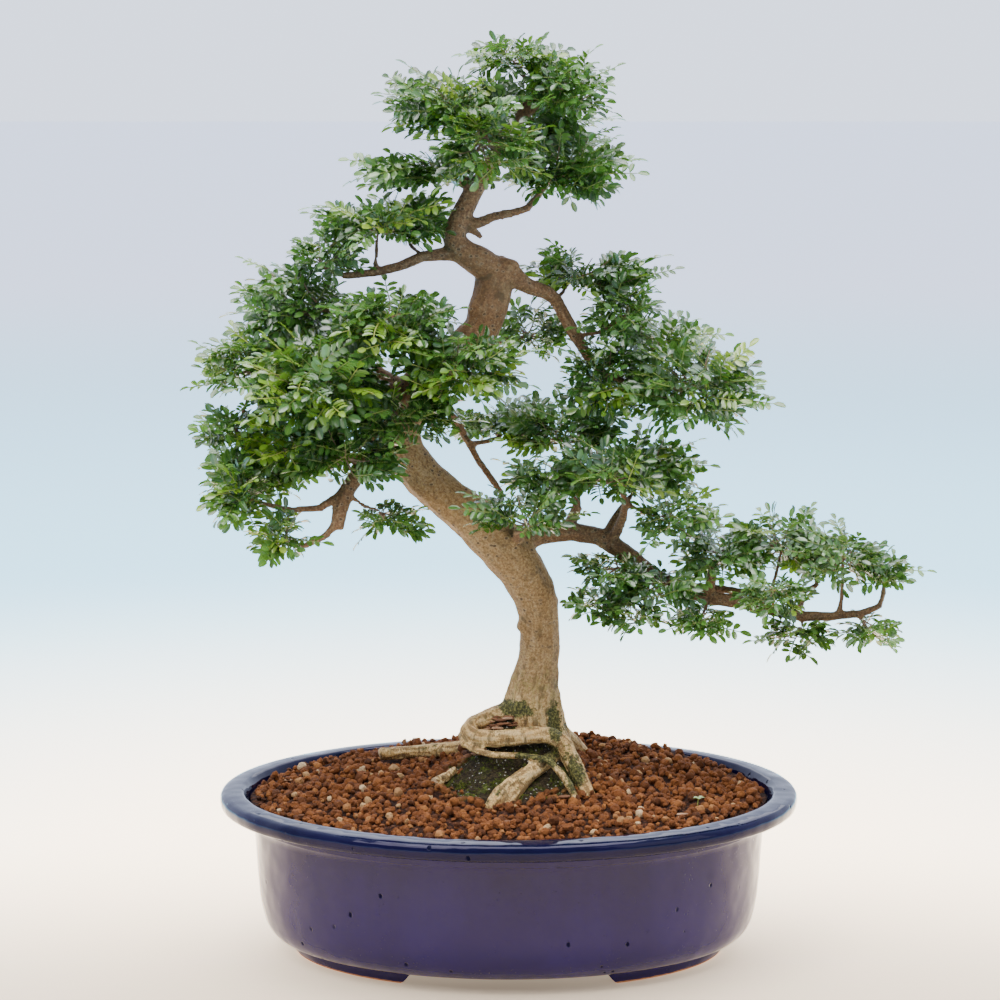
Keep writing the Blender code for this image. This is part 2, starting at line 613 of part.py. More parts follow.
def wood_tubes(collection, grow=0.0):
    made = [
        trunk_tube(TRUNK_LOWER, "trunk_lower", collection, grow),
        trunk_tube(TRUNK_UPPER, "trunk_upper", collection, grow),
    ]
    for name, route in ROOTS.items():
        made.append(tube(scaled(route), "root_" + name, collection, 1, grow))
    for name, route in LIMBS.items():
        slender = route[1][3] < SLENDER
        made.append(tube(scaled(route), "limb_" + name, collection, 0 if slender else 1, grow))
    places = limb_places()
    for name, (centre, half_sizes, _) in SPRAYS.items():
        middle = Vector(centre) * MM
        if min((place - middle).length for place in places) > TWIG_NEEDED * min(half_sizes) * MM:
            made.append(tube(twig_route(middle, places), "twig_" + name, collection, 0, grow))
    return made


def make_trunk(model, cutters):
    parts = new_collection("wood_parts", cutters)
    trunk = wood_tubes(parts)[0]
    parts.objects.unlink(trunk)
    model.objects.link(trunk)
    trunk.name = "trunk"
    apply_boolean(trunk, "UNION", parts)
    empty_collection(parts)
    tidy_body(trunk)
    trunk.data.materials.append(material("bark", (0.330, 0.235, 0.160), 0.8))
    return trunk


def surface_tree(mesh):
    verts = [v.co.copy() for v in mesh.vertices]
    return BVHTree.FromPolygons(verts, [tuple(p.vertices) for p in mesh.polygons])


def core_radius(direction, half_sizes):
    """Distance from the core's centre to its surface along a direction."""
    return 1 / math.sqrt(sum((d / h) ** 2 for d, h in zip(direction, half_sizes)))


def make_core(centre, half_sizes, rng, name, collection):
    """The dense inside of a spray: a small jagged tuft that the leaves grow out of."""
    bm = bmesh.new()
    bmesh.ops.create_icosphere(bm, subdivisions=1, radius=1)
    bmesh.ops.rotate(bm, verts=bm.verts, matrix=Matrix.Rotation(rng.uniform(0, 1), 3, "Z"))
    for vert in bm.verts:
        swell = rng.uniform(*(CORE_TUFT if rng.random() < 0.5 else CORE_DIP))
        vert.co = centre + Vector([c * h * swell for c, h in zip(vert.co, half_sizes)])
    return object_from(bm, name, collection)


def leaf_outline(length, pairs, margin):
    """A pinnate leaf lying along +X: places along its rib, and one side of its edge from root to tip."""
    pitch = (length - LEAF_PETIOLE - LEAF_TERMINAL) / pairs
    reach = LEAFLET_REACH + margin
    rib_half = RIB_HALF_WIDTH + margin
    ribs = []
    edge = []
    for pair in range(pairs):
        x = LEAF_PETIOLE + pair * pitch
        ribs.append(x + LEAFLET_INNER * pitch)
        edge.append((x - LEAFLET_LEAN * pitch, rib_half))
        edge.append((x + LEAFLET_INNER * pitch, reach * LEAFLET_SHOULDER))
        edge.append((x + LEAFLET_OUTER * pitch, reach))
    x = LEAF_PETIOLE + pairs * pitch
    ribs.append(x + TERMINAL_RIB * LEAF_TERMINAL)
    edge.append((x, rib_half))
    edge.append((x + TERMINAL_SHOULDER[0] * LEAF_TERMINAL, TERMINAL_SHOULDER[1] * reach + margin))
    return ribs, edge, length + margin


def leaf_object(length, pairs, droop, frame, name, collection, margin=0.0):
    """One compound leaf: a blade cut to its rib between the leaflets, ridged above and flat below.

    With a margin it is a little larger and has no stalk, for finding free room.
    """
    ribs, edge, tip = leaf_outline(length, pairs, margin)

    def placed(x, y, z):
        sag = droop * length * (x / length) ** 2 + LEAFLET_SAG * abs(y)
        return frame @ Vector((x, y, z - sag))

    bm = bmesh.new()
    end = bm.verts.new(placed(tip, 0, -margin))
    sides = [[bm.verts.new(placed(x, sign * y, -margin)) for x, y in edge] for sign in (-1, 1)]
    ridge = [bm.verts.new(placed(x, 0, RIB_RISE + margin)) for x in ribs]
    left, right = sides
    for side in sides:
        for i in range(pairs):
            k = 3 * i
            for j in range(k, k + 3):
                bm.faces.new((ridge[i], side[j], side[j + 1]))
            bm.faces.new((ridge[i], side[k + 3], ridge[i + 1]))
            bm.faces.new(side[k : k + 4])
        bm.faces.new((ridge[-1], side[-2], side[-1]))
        bm.faces.new((ridge[-1], side[-1], end))
    for i in range(pairs):
        bm.faces.new((left[3 * i], right[3 * i], right[3 * i + 3], left[3 * i + 3]))
    bm.faces.new((left[-2], right[-2], right[-1], left[-1]))
    bm.faces.new((left[-1], right[-1], end))
    if margin:
        bm.faces.new((ridge[0], left[0], right[0]))
    else:
        root = [bm.verts.new(placed(0, sign * RIB_HALF_WIDTH, 0)) for sign in (-1, 1)]
        for side, foot in zip(sides, root):
            bm.faces.new((ridge[0], side[0], foot))
        bm.faces.new((ridge[0], *root))
        bm.faces.new((left[0], root[0], root[1], right[0]))
    return object_from(bm, name, collection)


def leaf_frame(origin, axis, lean):
    """A frame with X along the leaf and Z close to the lean direction."""
    side = lean.cross(axis).normalized()
    up = axis.cross(side).normalized()
    turned = Matrix((axis, side, up)).transposed().to_4x4()
    turned.translation = origin
    return turned


def leaf_directions(count, rng):
    """Directions spread evenly over a ball, with none straight down."""
    start = rng.uniform(0, 2 * math.pi)
    for i in range(count):
        height = LEAF_HEIGHTS[0] - LEAF_HEIGHTS[1] * (i + 0.5) / count
        ring = math.sqrt(1 - height * height)
        angle = start + i * GOLDEN_ANGLE
        yield Vector((ring * math.cos(angle), ring * math.sin(angle), height))


def grow_leaf(name, spray, direction, rng, scratch, taken):
    """Try places near a direction until the leaf is clear of everything taken."""
    centre, reach_sizes, core_sizes = spray
    for attempt in range(LEAF_TRIES):
        spread = LEAF_SPREAD[0] + LEAF_SPREAD[1] * attempt / LEAF_TRIES
        jitter = Vector([rng.gauss(0, spread) for _ in range(3)])
        outward = (direction + jitter).normalized()
        origin = centre + outward * core_radius(outward, core_sizes) * LEAF_ROOT
        aside = outward.orthogonal().normalized()
        aside.rotate(Quaternion(outward, rng.uniform(0, 2 * math.pi)))
        slant = rng.uniform(*LEAF_SLANT)
        axis = outward * math.cos(slant) + aside * math.sin(slant)
        wanted = LEAF_STRETCH * (core_radius(outward, reach_sizes) - (origin - centre).length)
        length = min(max(wanted * rng.uniform(*LEAF_VARIATION), LEAF_LENGTH[0]), LEAF_LENGTH[1])
        pairs = max(1, round((length - LEAF_PETIOLE - LEAF_TERMINAL) / LEAFLET_PITCH))
        lean = outward + LEAF_LEAN
        droop = rng.uniform(*LEAF_DROOP)
        frame = leaf_frame(origin, axis, lean)
        probe = leaf_object(length, pairs, droop, frame, "probe", scratch, LEAF_MARGIN)
        tree = surface_tree(probe.data)
        remove(probe)
        if not any(tree.overlap(other) for other in taken):
            return leaf_object(length, pairs, droop, frame, name, scratch)
    return None


def make_cores(cutters):
    """The cores of all sprays first, so that leaves keep clear of them."""
    holder = new_collection("cores", cutters)
    cores = {}
    for index, (name, (centre, half_sizes, _)) in enumerate(SPRAYS.items()):
        rng = random.Random(CORE_SEED + index)
        sizes = [max(CORE_LEAST, CORE_SHARE * size * MM) for size in half_sizes]
        core = make_core(Vector(centre) * MM, sizes, rng, "leaves_" + name, holder)
        cores[name] = (core, sizes)
    return cores, holder


def make_sprays(model, cutters, wood, wood_cutters, leaf_materials):
    cores, holder = make_cores(cutters)
    wood_tree = surface_tree(wood.data)
    core_trees = {name: surface_tree(core.data) for name, (core, _) in cores.items()}
    leaf_trees = {name: [] for name in cores}
    grown = {}
    for index, (name, (centre, half_sizes, count)) in enumerate(SPRAYS.items()):
        rng = random.Random(LEAF_SEED + index)
        leaves = new_collection("grown_" + name, cutters)
        spray = (Vector(centre) * MM, [size * MM for size in half_sizes], cores[name][1])
        for number, direction in enumerate(leaf_directions(count, rng)):
            taken = [wood_tree]
            taken += [tree for other, tree in core_trees.items() if other != name]
            taken += [tree for trees in leaf_trees.values() for tree in trees]
            leaf = grow_leaf("leaf_%d" % number, spray, direction, rng, leaves, taken)
            if leaf:
                leaf_trees[name].append(surface_tree(leaf.data))
        grown[name] = leaves
    sprays = []
    for index, (name, leaves) in enumerate(grown.items()):
        core = cores[name][0]
        holder.objects.unlink(core)
        model.objects.link(core)
        apply_boolean(core, "UNION", leaves, ("MANIFOLD", "EXACT"))
        empty_collection(leaves)
        apply_boolean(core, "DIFFERENCE", wood_cutters, ("MANIFOLD", "EXACT"))
        tidy_body(core)
        core.data.materials.append(leaf_materials[index % 2])
        sprays.append(core)
    return sprays


def stand_on_centre(pieces):
    """Hang the pieces on one empty, with the whole model's box centred over the origin."""
    stand = bpy.data.objects.new("bonsai", None)
    bpy.context.scene.collection.objects.link(stand)
    corners = [v.co for piece in pieces for v in piece.data.vertices]
    middle_x = (min(c.x for c in corners) + max(c.x for c in corners)) / 2
    middle_y = (min(c.y for c in corners) + max(c.y for c in corners)) / 2
    stand.location = (-middle_x, -middle_y, 0)
    for piece in pieces:
        piece.parent = stand


def main():
    clear_scene()
    model = new_collection("chinese_pepper_bonsai", bpy.context.scene.collection)
    cutters = new_collection("cutters", bpy.context.scene.collection)
    pot = make_pot(model, cutters)
    plastic = material("screen_plastic", (0.020, 0.020, 0.020), 0.6)
    screens = [
        make_screen("drain_screen_left", -DRAIN_X, model, cutters, plastic),
        make_screen("drain_screen_right", DRAIN_X, model, cutters, plastic),
    ]
    trunk = make_trunk(model, cutters)
    wood_cutters = new_collection("wood_cutters", cutters)
    wood_tubes(wood_cutters, CLEARANCE)
    soil = make_soil(model, cutters, wood_cutters)
    leaf_materials = [
        material("leaf_dark_green", (0.035, 0.120, 0.018), 0.4),
        material("leaf_green", (0.070, 0.190, 0.025), 0.4),
    ]
    sprays = make_sprays(model, cutters, trunk, wood_cutters, leaf_materials)
    empty_collection(wood_cutters)
    stand_on_centre([pot, soil, trunk] + screens + sprays)


main()
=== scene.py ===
"""Looks of a chinese pepper bonsai in an oval glazed pot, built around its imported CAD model.

Metres, +Z up, in the frame's own coordinates. Lists in millimetres are scaled by MM and are
measured from the middle of the pot. The front of the tree looks along -Y.
"""

import json
import math
import random

import bmesh
import bpy
import numpy as np
from mathutils import Matrix, Vector, noise
from mathutils.bvhtree import BVHTree

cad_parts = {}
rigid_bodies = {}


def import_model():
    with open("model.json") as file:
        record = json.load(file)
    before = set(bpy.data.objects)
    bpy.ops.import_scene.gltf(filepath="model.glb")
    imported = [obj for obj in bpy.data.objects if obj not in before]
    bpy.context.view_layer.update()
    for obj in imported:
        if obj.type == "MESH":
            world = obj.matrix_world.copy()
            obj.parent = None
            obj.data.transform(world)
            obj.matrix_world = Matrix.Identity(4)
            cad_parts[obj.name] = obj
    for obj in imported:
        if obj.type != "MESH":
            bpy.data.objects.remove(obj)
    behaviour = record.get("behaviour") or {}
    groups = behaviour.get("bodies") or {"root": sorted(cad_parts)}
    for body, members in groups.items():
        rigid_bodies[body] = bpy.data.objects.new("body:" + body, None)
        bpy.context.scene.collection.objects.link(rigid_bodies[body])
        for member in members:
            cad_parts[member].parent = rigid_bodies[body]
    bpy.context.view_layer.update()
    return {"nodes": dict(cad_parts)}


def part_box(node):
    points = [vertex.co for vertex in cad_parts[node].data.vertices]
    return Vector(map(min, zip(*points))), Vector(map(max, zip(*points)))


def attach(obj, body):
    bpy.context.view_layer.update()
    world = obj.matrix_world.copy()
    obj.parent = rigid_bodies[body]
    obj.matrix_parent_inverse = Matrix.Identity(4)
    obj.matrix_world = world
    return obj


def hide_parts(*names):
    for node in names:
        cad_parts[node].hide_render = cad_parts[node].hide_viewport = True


MM = 0.001
UP = Vector((0, 0, 1))
GOLDEN_ANGLE = math.pi * (3 - math.sqrt(5))

# Camera, from the middle of the pot
CAMERA_PLACE = (-0.006, -1.8, 0.587)
CAMERA_PITCH = 81.37
CAMERA_LENS = 95.9

# Pot: (distance in from the rim's edge, height) in millimetres
POT_SEGMENTS = 192
POT_UNDER = ((130, 8.5), (60, 8.5), (49, 8.5), (46, 8.7), (43, 9.3), (40.5, 10.2), (37.2, 12.0))
POT_BODY = (
    (34.5, 14.5), (31.9, 18.2), (29.8, 23), (27.9, 31), (26.5, 40), (25.4, 54), (24.4, 70), (23.3, 87),
)
POT_STEP = ((23.1, 90.6), (22.3, 91.2), (21.9, 92.0), (21.9, 95.6), (21.2, 97.6), (19.0, 98.8))
POT_FLANGE = (
    (12, 99.6), (5.0, 100.3), (2.4, 101.0), (0.9, 102.4), (0.2, 104.6), (0, 107), (0.3, 109.0),
    (1.2, 110.8), (2.8, 111.9), (5.5, 112.4), (10, 112.8), (13.8, 112.9), (15.6, 112.5), (16.7, 111.4),
)
POT_INSIDE = ((18.4, 108.5), (20.3, 103), (24.5, 96.5), (29, 90), (34, 34), (46, 18), (54, 15), (130, 15))
FOOT_RING = (
    (48.6, 10.6), (49.2, 5.0), (49.7, 1.4), (50.6, 0.2), (52, 0), (59.5, 0), (60.8, 0.5), (60.2, 10.6),
)
FOOT_GAP_FRONT = (73, 63)  # half length at the bottom and at the top
FOOT_GAP_END = (20, 14)
FOOT_HEIGHT = 8.5
RIM_HALF = (200, 150)
RIM_WAVE = 0.35 * MM
DRAIN_X = 72
DRAIN_RADIUS = 9

# Soil. Each heap is (height, centre x and y, reach in x and y)
SOIL_RINGS = 70
SOIL_SEGMENTS = 200
SOIL_SINK = 2.2 * MM
SOIL_SIDE = ((23.6, 100), (30.4, 88), (35.4, 34), (47, 19), (55, 16.6))  # like the pot's rings
SOIL_RIM = 0.105  # its height where the solid's surface ends
ABOVE_ALL_SOIL = 0.4
HEAPS = ((16 * MM, -11 * MM, -1 * MM, 13 * MM, 12 * MM), (12 * MM, 22 * MM, -17 * MM, 19 * MM, 9 * MM))
MOSS_PATCH = (0 * MM, -28 * MM, 46 * MM, 30 * MM)  # centre and reach
MOSS_COVER = 0.42  # moss this deep hides the granules
GRANULE_PITCH = 5.3 * MM
GRANULE_RADIUS = (1.5 * MM, 3.7 * MM)
GRANULE_EXTRA = 1100
GRANULE_SEED = 7
MOSS_SEED = 3
MOSS_TRIES = (2600, 4200)  # on the wood and on the soil
TUFT_BLADES = 5
CHIP_SEED = 5
CHIP_COUNTS = (70, 26)  # behind the looping root and all over the soil
SPROUT_SEED = 9
SPROUT_PLACE = (0.127, -0.052)

# Wood
WOOD_VOXEL = 1.52 * MM
WOOD_SMOOTHING = 4
WOOD_SWELL = 0.3 * MM
GRAIN_SMOOTHING = 14
HOLLOW_SMOOTHING = 6
# Mossy places on the front of the wood: middle and reach in x and z, in millimetres
MOSS_SPOTS = (
    (3, 168, 12, 6), (32, 160, 5, 14), (15, 143, 10, 3.5), (27, 141, 7, 5), (45, 130, 5, 9),
    (-24, 132, 12, 6),
)
MOSS_FRONT = 15 * MM  # no spots lie further back than this
GRAIN_STEPS = (-4.5, -3, -1.5, 0, 1.5, 3, 4.5)  # in millimetres, for the grooves
# Swellings of the bark: place, how far they stand out and how wide they are, in millimetres
BARK_KNOTS = (
    ((5, 8, 472), 3.6, 7), ((-14, 2, 482), 2.2, 7), ((-31, 4, 446), 2.6, 7), ((-4, 2, 452), -1.8, 6),
    ((-36, 0, 500), 1.8, 5), ((37, 8, 243), 1.4, 3), ((-90, -3, 352), 2.0, 6), ((30, -2, 166), -3.2, 7),
    ((33, -4, 156), -2.8, 6), ((-30, -12, 322), 2.2, 5), ((18, -8, 262), 1.2, 5),
    ((-62, -12, 392), 2.4, 7),
    ((4, 0, 224), 3.6, 4), ((5, -2, 216), 1.6, 4), ((20, -10, 232), 1.0, 3), ((12, -10, 196), 1.4, 5),
)

# Cut faces of the wood: middle, axis and radius, in millimetres
CUT_FACES = (
    ((-92, 58, 121), (-26, 3, -2.5), 6), ((-19, 16, 492), (4, 4, -4), 4), ((141, -5, 273), (2, -2, 12), 5),
)

# A cut root on the soil: (x, y, height above the soil) in millimetres
ROOT_STUB = ((-37, -15, 1.5), (-42, -20, 3.0), (-47, -25, 2.8), (-51, -29, 1.0))
ROOT_STUB_RADII = (2.6, 3.0, 3.4, 3.1)
ROOT_STUB_SIDES = 18
ROOT_STUB_SEED = 4  # unseeded, its noise would differ from run to run

# Leaves
LEAFLET_ROWS = ((0.0, 0.12), (0.32, 0.88), (0.74, 0.94), (1.0, 0.3))
LEAFLET_LENGTH = (7.2 * MM, 9.2 * MM)
LEAFLET_SHAPE = (0.46, 0.58)
LEAFLET_ANGLE = (56, 74)
LEAF_LENGTH = (28 * MM, 44 * MM)
LEAF_PETIOLE = (3 * MM, 6 * MM)
LEAF_PITCH = 4.7 * MM
LEAF_PAIRS = (3, 7)
LEAVES_PER_AREA = 0.0076
PAD_SQUARENESS = 2.5
PAD_FLATNESS = 0.88  # of a spray's own half height
PAD_OVERHANG = 8 * MM  # how far leaf tips reach out of a spray's rounded box
STRAY_OVERHANG = 22 * MM
STRAY_SHARE = 0.6
SHOOT_LEAVES = 6
LEAF_TRIES = 7
SHOOT_RADIUS = (0.55 * MM, 0.95 * MM)
RACHIS_RADIUS = 0.48 * MM
LEAF_SEED = 21
# Share of young, bright shoots in a spray
YOUNG = {
    "left_over_trunk": 0.32, "left_inner": 0.28, "crown_top": 0.35, "crown_left": 0.25,
    "crown_front": 0.2, "left_front": 0.35, "shoulder": 0.25, "low_left": 0.3, "left_tip": 0.3,
    "right_high": 0.55, "right_back": 0.35, "far_mid": 0.3,
}
YOUNG_ELSEWHERE = 0.12
# Sprays that reach further than their own box: left, right, down and up, in millimetres
STRETCH = {
    "left_inner": (0, 16, 4, 0), "left_over_trunk": (10, 0, 0, 14), "left_centre": (6, 6, 0, 8),
    "crown_front": (5, 0, 22, 0), "crown_left": (9, 0, 0, 0), "crown_top": (0, 0, 0, -2),
    "shoulder": (4, 6, 0, 0), "right_tip": (16, -6, 0, 4), "right_inner": (0, 8, 0, 6),
    "back_high": (4, 6, 0, 6), "left_front": (0, 8, 8, 0), "low_left_inner": (6, 6, 0, 8),
    "far_inner": (6, 4, 8, 0), "far_mid": (4, 4, 8, 0),
}

# Light and floor, in metres, watts and times the world's light
KEY_LIGHT = ((-1.3, -1.6, 2.3), (1.6, 1.6), 54, (1.0, 0.985, 0.96))
FILL_LIGHT = ((1.9, -1.5, 1.3), (1.8, 1.8), 14, (0.95, 0.97, 1.0))
TOP_LIGHT = ((0.0, -0.3, 2.6), (2.4, 2.0), 120, (1.0, 1.0, 1.0))
BACK_LIGHT = ((0.3, 2.2, 1.9), (2.4, 1.4), 20, (1.0, 1.0, 1.0))
LIGHT_AIM = 0.3
WORLD_COLOUR = (0.73, 0.81, 1.0)
WORLD_STRENGTH = (0.42, 2.25)  # in front of the object and behind it
FLOOR_SIZE = 60
FLOOR_WARM = (0.25, 1.6)
FLOOR_FAR = (1.6, 7.0)
FLOOR_GLOW = (-0.16, 0.3, 4.8)  # from here to here in depth the floor grows as bright as this


class Shading:
    """A node material, built from short calls; every texture lies in the piece's own coordinates."""

    def __init__(self, name):
        self.material = bpy.data.materials.new(name)
        self.material.use_nodes = True
        self.tree = self.material.node_tree
        self.shader = self.tree.nodes["Principled BSDF"]
        self.place = self.add("ShaderNodeTexCoord").outputs["Object"]
        self.colour = None

    def add(self, kind, inputs=None, **settings):
        node = self.tree.nodes.new(kind)
        for name, value in settings.items():
            setattr(node, name, value)
        for name, value in (inputs or {}).items():
            self.put(node.inputs[name], value)
        return node

    def put(self, socket, value):
        if isinstance(value, bpy.types.NodeSocket):
            self.tree.links.new(value, socket)
        else:
            socket.default_value = value

    def surface(self, **inputs):
        for name, value in inputs.items():
            self.put(self.shader.inputs[name.replace("_", " ")], value)

    def noise(self, scale, detail=4.0, roughness=0.55, place=None, distortion=0.0):
        node = self.add("ShaderNodeTexNoise", {
            "Vector": place or self.place, "Scale": scale, "Detail": detail,
            "Roughness": roughness, "Distortion": distortion,
        })
        return node.outputs["Fac"]

    def cells(self, scale, feature="F1", randomness=1.0, place=None, output="Distance"):
        node = self.add("ShaderNodeTexVoronoi", {
            "Vector": place or self.place, "Scale": scale, "Randomness": randomness,
        }, feature=feature)
        return node.outputs[output]

    def stretched(self, scale):
        return self.add("ShaderNodeMapping", {"Vector": self.place, "Scale": scale}).outputs["Vector"]

    def ramp(self, factor, stops):
        node = self.add("ShaderNodeValToRGB", {"Fac": factor})
        elements = node.color_ramp.elements
        while len(elements) < len(stops):
            elements.new(1.0)
        for element, (position, *colour) in zip(elements, stops):
            element.position = position
            element.color = (*colour, 1) if len(colour) == 3 else (*colour * 3, 1)
        return node.outputs["Color"]

    def between(self, value, low, high):
        """0 below low, 1 above high, smooth in between."""
        node = self.add("ShaderNodeMapRange", {"Value": value, "From Min": low, "From Max": high})
        node.interpolation_type = "SMOOTHSTEP"
        return node.outputs["Result"]

    def mix(self, factor, first, second):
        node = self.tree.nodes.new("ShaderNodeMix")
        node.data_type = "RGBA"
        self.put(node.inputs[0], factor)
        self.put(node.inputs[6], (*first, 1) if isinstance(first, tuple) else first)
        self.put(node.inputs[7], (*second, 1) if isinstance(second, tuple) else second)
        return node.outputs[2]

    def math(self, operation, first, second=0.5):
        node = self.tree.nodes.new("ShaderNodeMath")
        node.operation = operation
        self.put(node.inputs[0], first)
        self.put(node.inputs[1], second)
        return node.outputs[0]

    def times(self, first, second):
        return self.math("MULTIPLY", first, second)

    def plus(self, first, second):
        return self.math("ADD", first, second)

    def minus(self, first, second):
        return self.math("SUBTRACT", first, second)

    def lay(self, new, mask, share=None):
        """Lay another colour over the present one where the mask is 1, whole or by a share."""
        factor = mask if share is None else self.times(mask, share)
        self.colour = self.mix(factor, self.colour, new)

    def height(self):
        return self.add("ShaderNodeSeparateXYZ", {"Vector": self.place}).outputs["Z"]

    def attribute(self, name):
        return self.add("ShaderNodeAttribute", attribute_name=name).outputs["Fac"]

    def streaks(self, scale, step, number, detail=3.0):
        """Noise drawn out along the grain of the wood."""
        grain = self.add("ShaderNodeAttribute", attribute_name="grain").outputs["Vector"]
        total = None
        for i in range(number):
            inputs = {0: grain, "Scale": step * (i - (number - 1) / 2)}
            moved = self.add("ShaderNodeVectorMath", inputs, operation="SCALE").outputs["Vector"]
            inputs = {0: self.place, 1: moved}
            place = self.add("ShaderNodeVectorMath", inputs, operation="ADD").outputs["Vector"]
            value = self.noise(scale, detail, place=place)
            total = self.plus(total, value) if total else value
        return self.times(total, 1 / number)

    def bump(self, height, strength, distance, under=None):
        inputs = {"Height": height, "Strength": strength, "Distance": distance}
        if under:
            inputs["Normal"] = under
        return self.add("ShaderNodeBump", inputs).outputs["Normal"]


def glaze_material():
    s = Shading("cobalt_glaze")
    height = s.height()
    cloud = s.noise(14, 5)
    streak = s.noise(24, 3, place=s.stretched((1, 1, 0.16)))
    s.colour = s.mix(s.between(cloud, 0.35, 0.68), (0.004, 0.0018, 0.032), (0.0085, 0.0038, 0.056))
    s.lay((0.003, 0.0014, 0.02), s.between(streak, 0.5, 0.72), 0.5)
    # Painted shade: the lower body is painted a deeper, darker blue, where the wall reflects less light.
    s.lay((0.0085, 0.0022, 0.08), s.between(height, 0.095, 0.03), 0.45)
    pit = s.plus(s.cells(75, place=s.stretched((1, 1, 0.8))), s.times(s.noise(420, 3), 0.14))
    pitted = s.times(s.between(pit, 0.19, 0.155), s.between(s.noise(23, 2), 0.44, 0.5))
    pore = s.cells(360)
    pored = s.times(s.between(pore, 0.15, 0.05), s.between(s.noise(52, 2), 0.5, 0.62))
    marks = s.math("MAXIMUM", pitted, s.times(pored, 0.7))
    # Painted shade: the pits and pores are painted darker than the glaze, for the reflection they lose.
    s.lay((0.002, 0.0015, 0.02), marks)
    # Painted shade: the top of the flange is painted darker, against the strong light from above.
    rim = s.between(height, 0.0995, 0.102)
    s.lay((0.0016, 0.0022, 0.013), rim, 0.7)
    # Painted reflection: pale grey-blue streaks along the crest of the rim, for the sky it reflects.
    edge = s.times(s.between(height, 0.1085, 0.1125), s.between(s.noise(130, 3), 0.35, 0.65))
    s.lay((0.01, 0.018, 0.04), edge, 0.25)
    clay = s.mix(s.noise(300, 4), (0.42, 0.2, 0.095), (0.62, 0.34, 0.18))
    wander = s.times(s.noise(180, 3), 0.0014)
    bare = s.between(s.minus(height, wander), 0.0011, 0.0003)
    s.surface(Base_Color=s.mix(bare, s.colour, clay))
    smooth = s.ramp(s.noise(90, 4), [(0.3, 0.035), (0.75, 0.09)])
    s.surface(Roughness=s.mix(bare, smooth, (0.9, 0.9, 0.9)), Specular_Tint=(0.84, 0.78, 1.0, 1.0))
    dull = s.math("MAXIMUM", bare, s.times(marks, 0.9))
    gloss = s.minus(0.42, s.times(rim, 0.18))
    s.surface(Specular_IOR_Level=s.times(s.minus(1.0, dull), gloss))
    orange_peel = s.bump(s.noise(70, 3), 0.22, 0.0006)
    ripple = s.bump(s.noise(12, 3), 0.8, 0.006, orange_peel)
    pits = s.bump(s.minus(1.0, marks), 0.6, 0.0006, ripple)
    s.surface(Normal=pits)
    return s.material


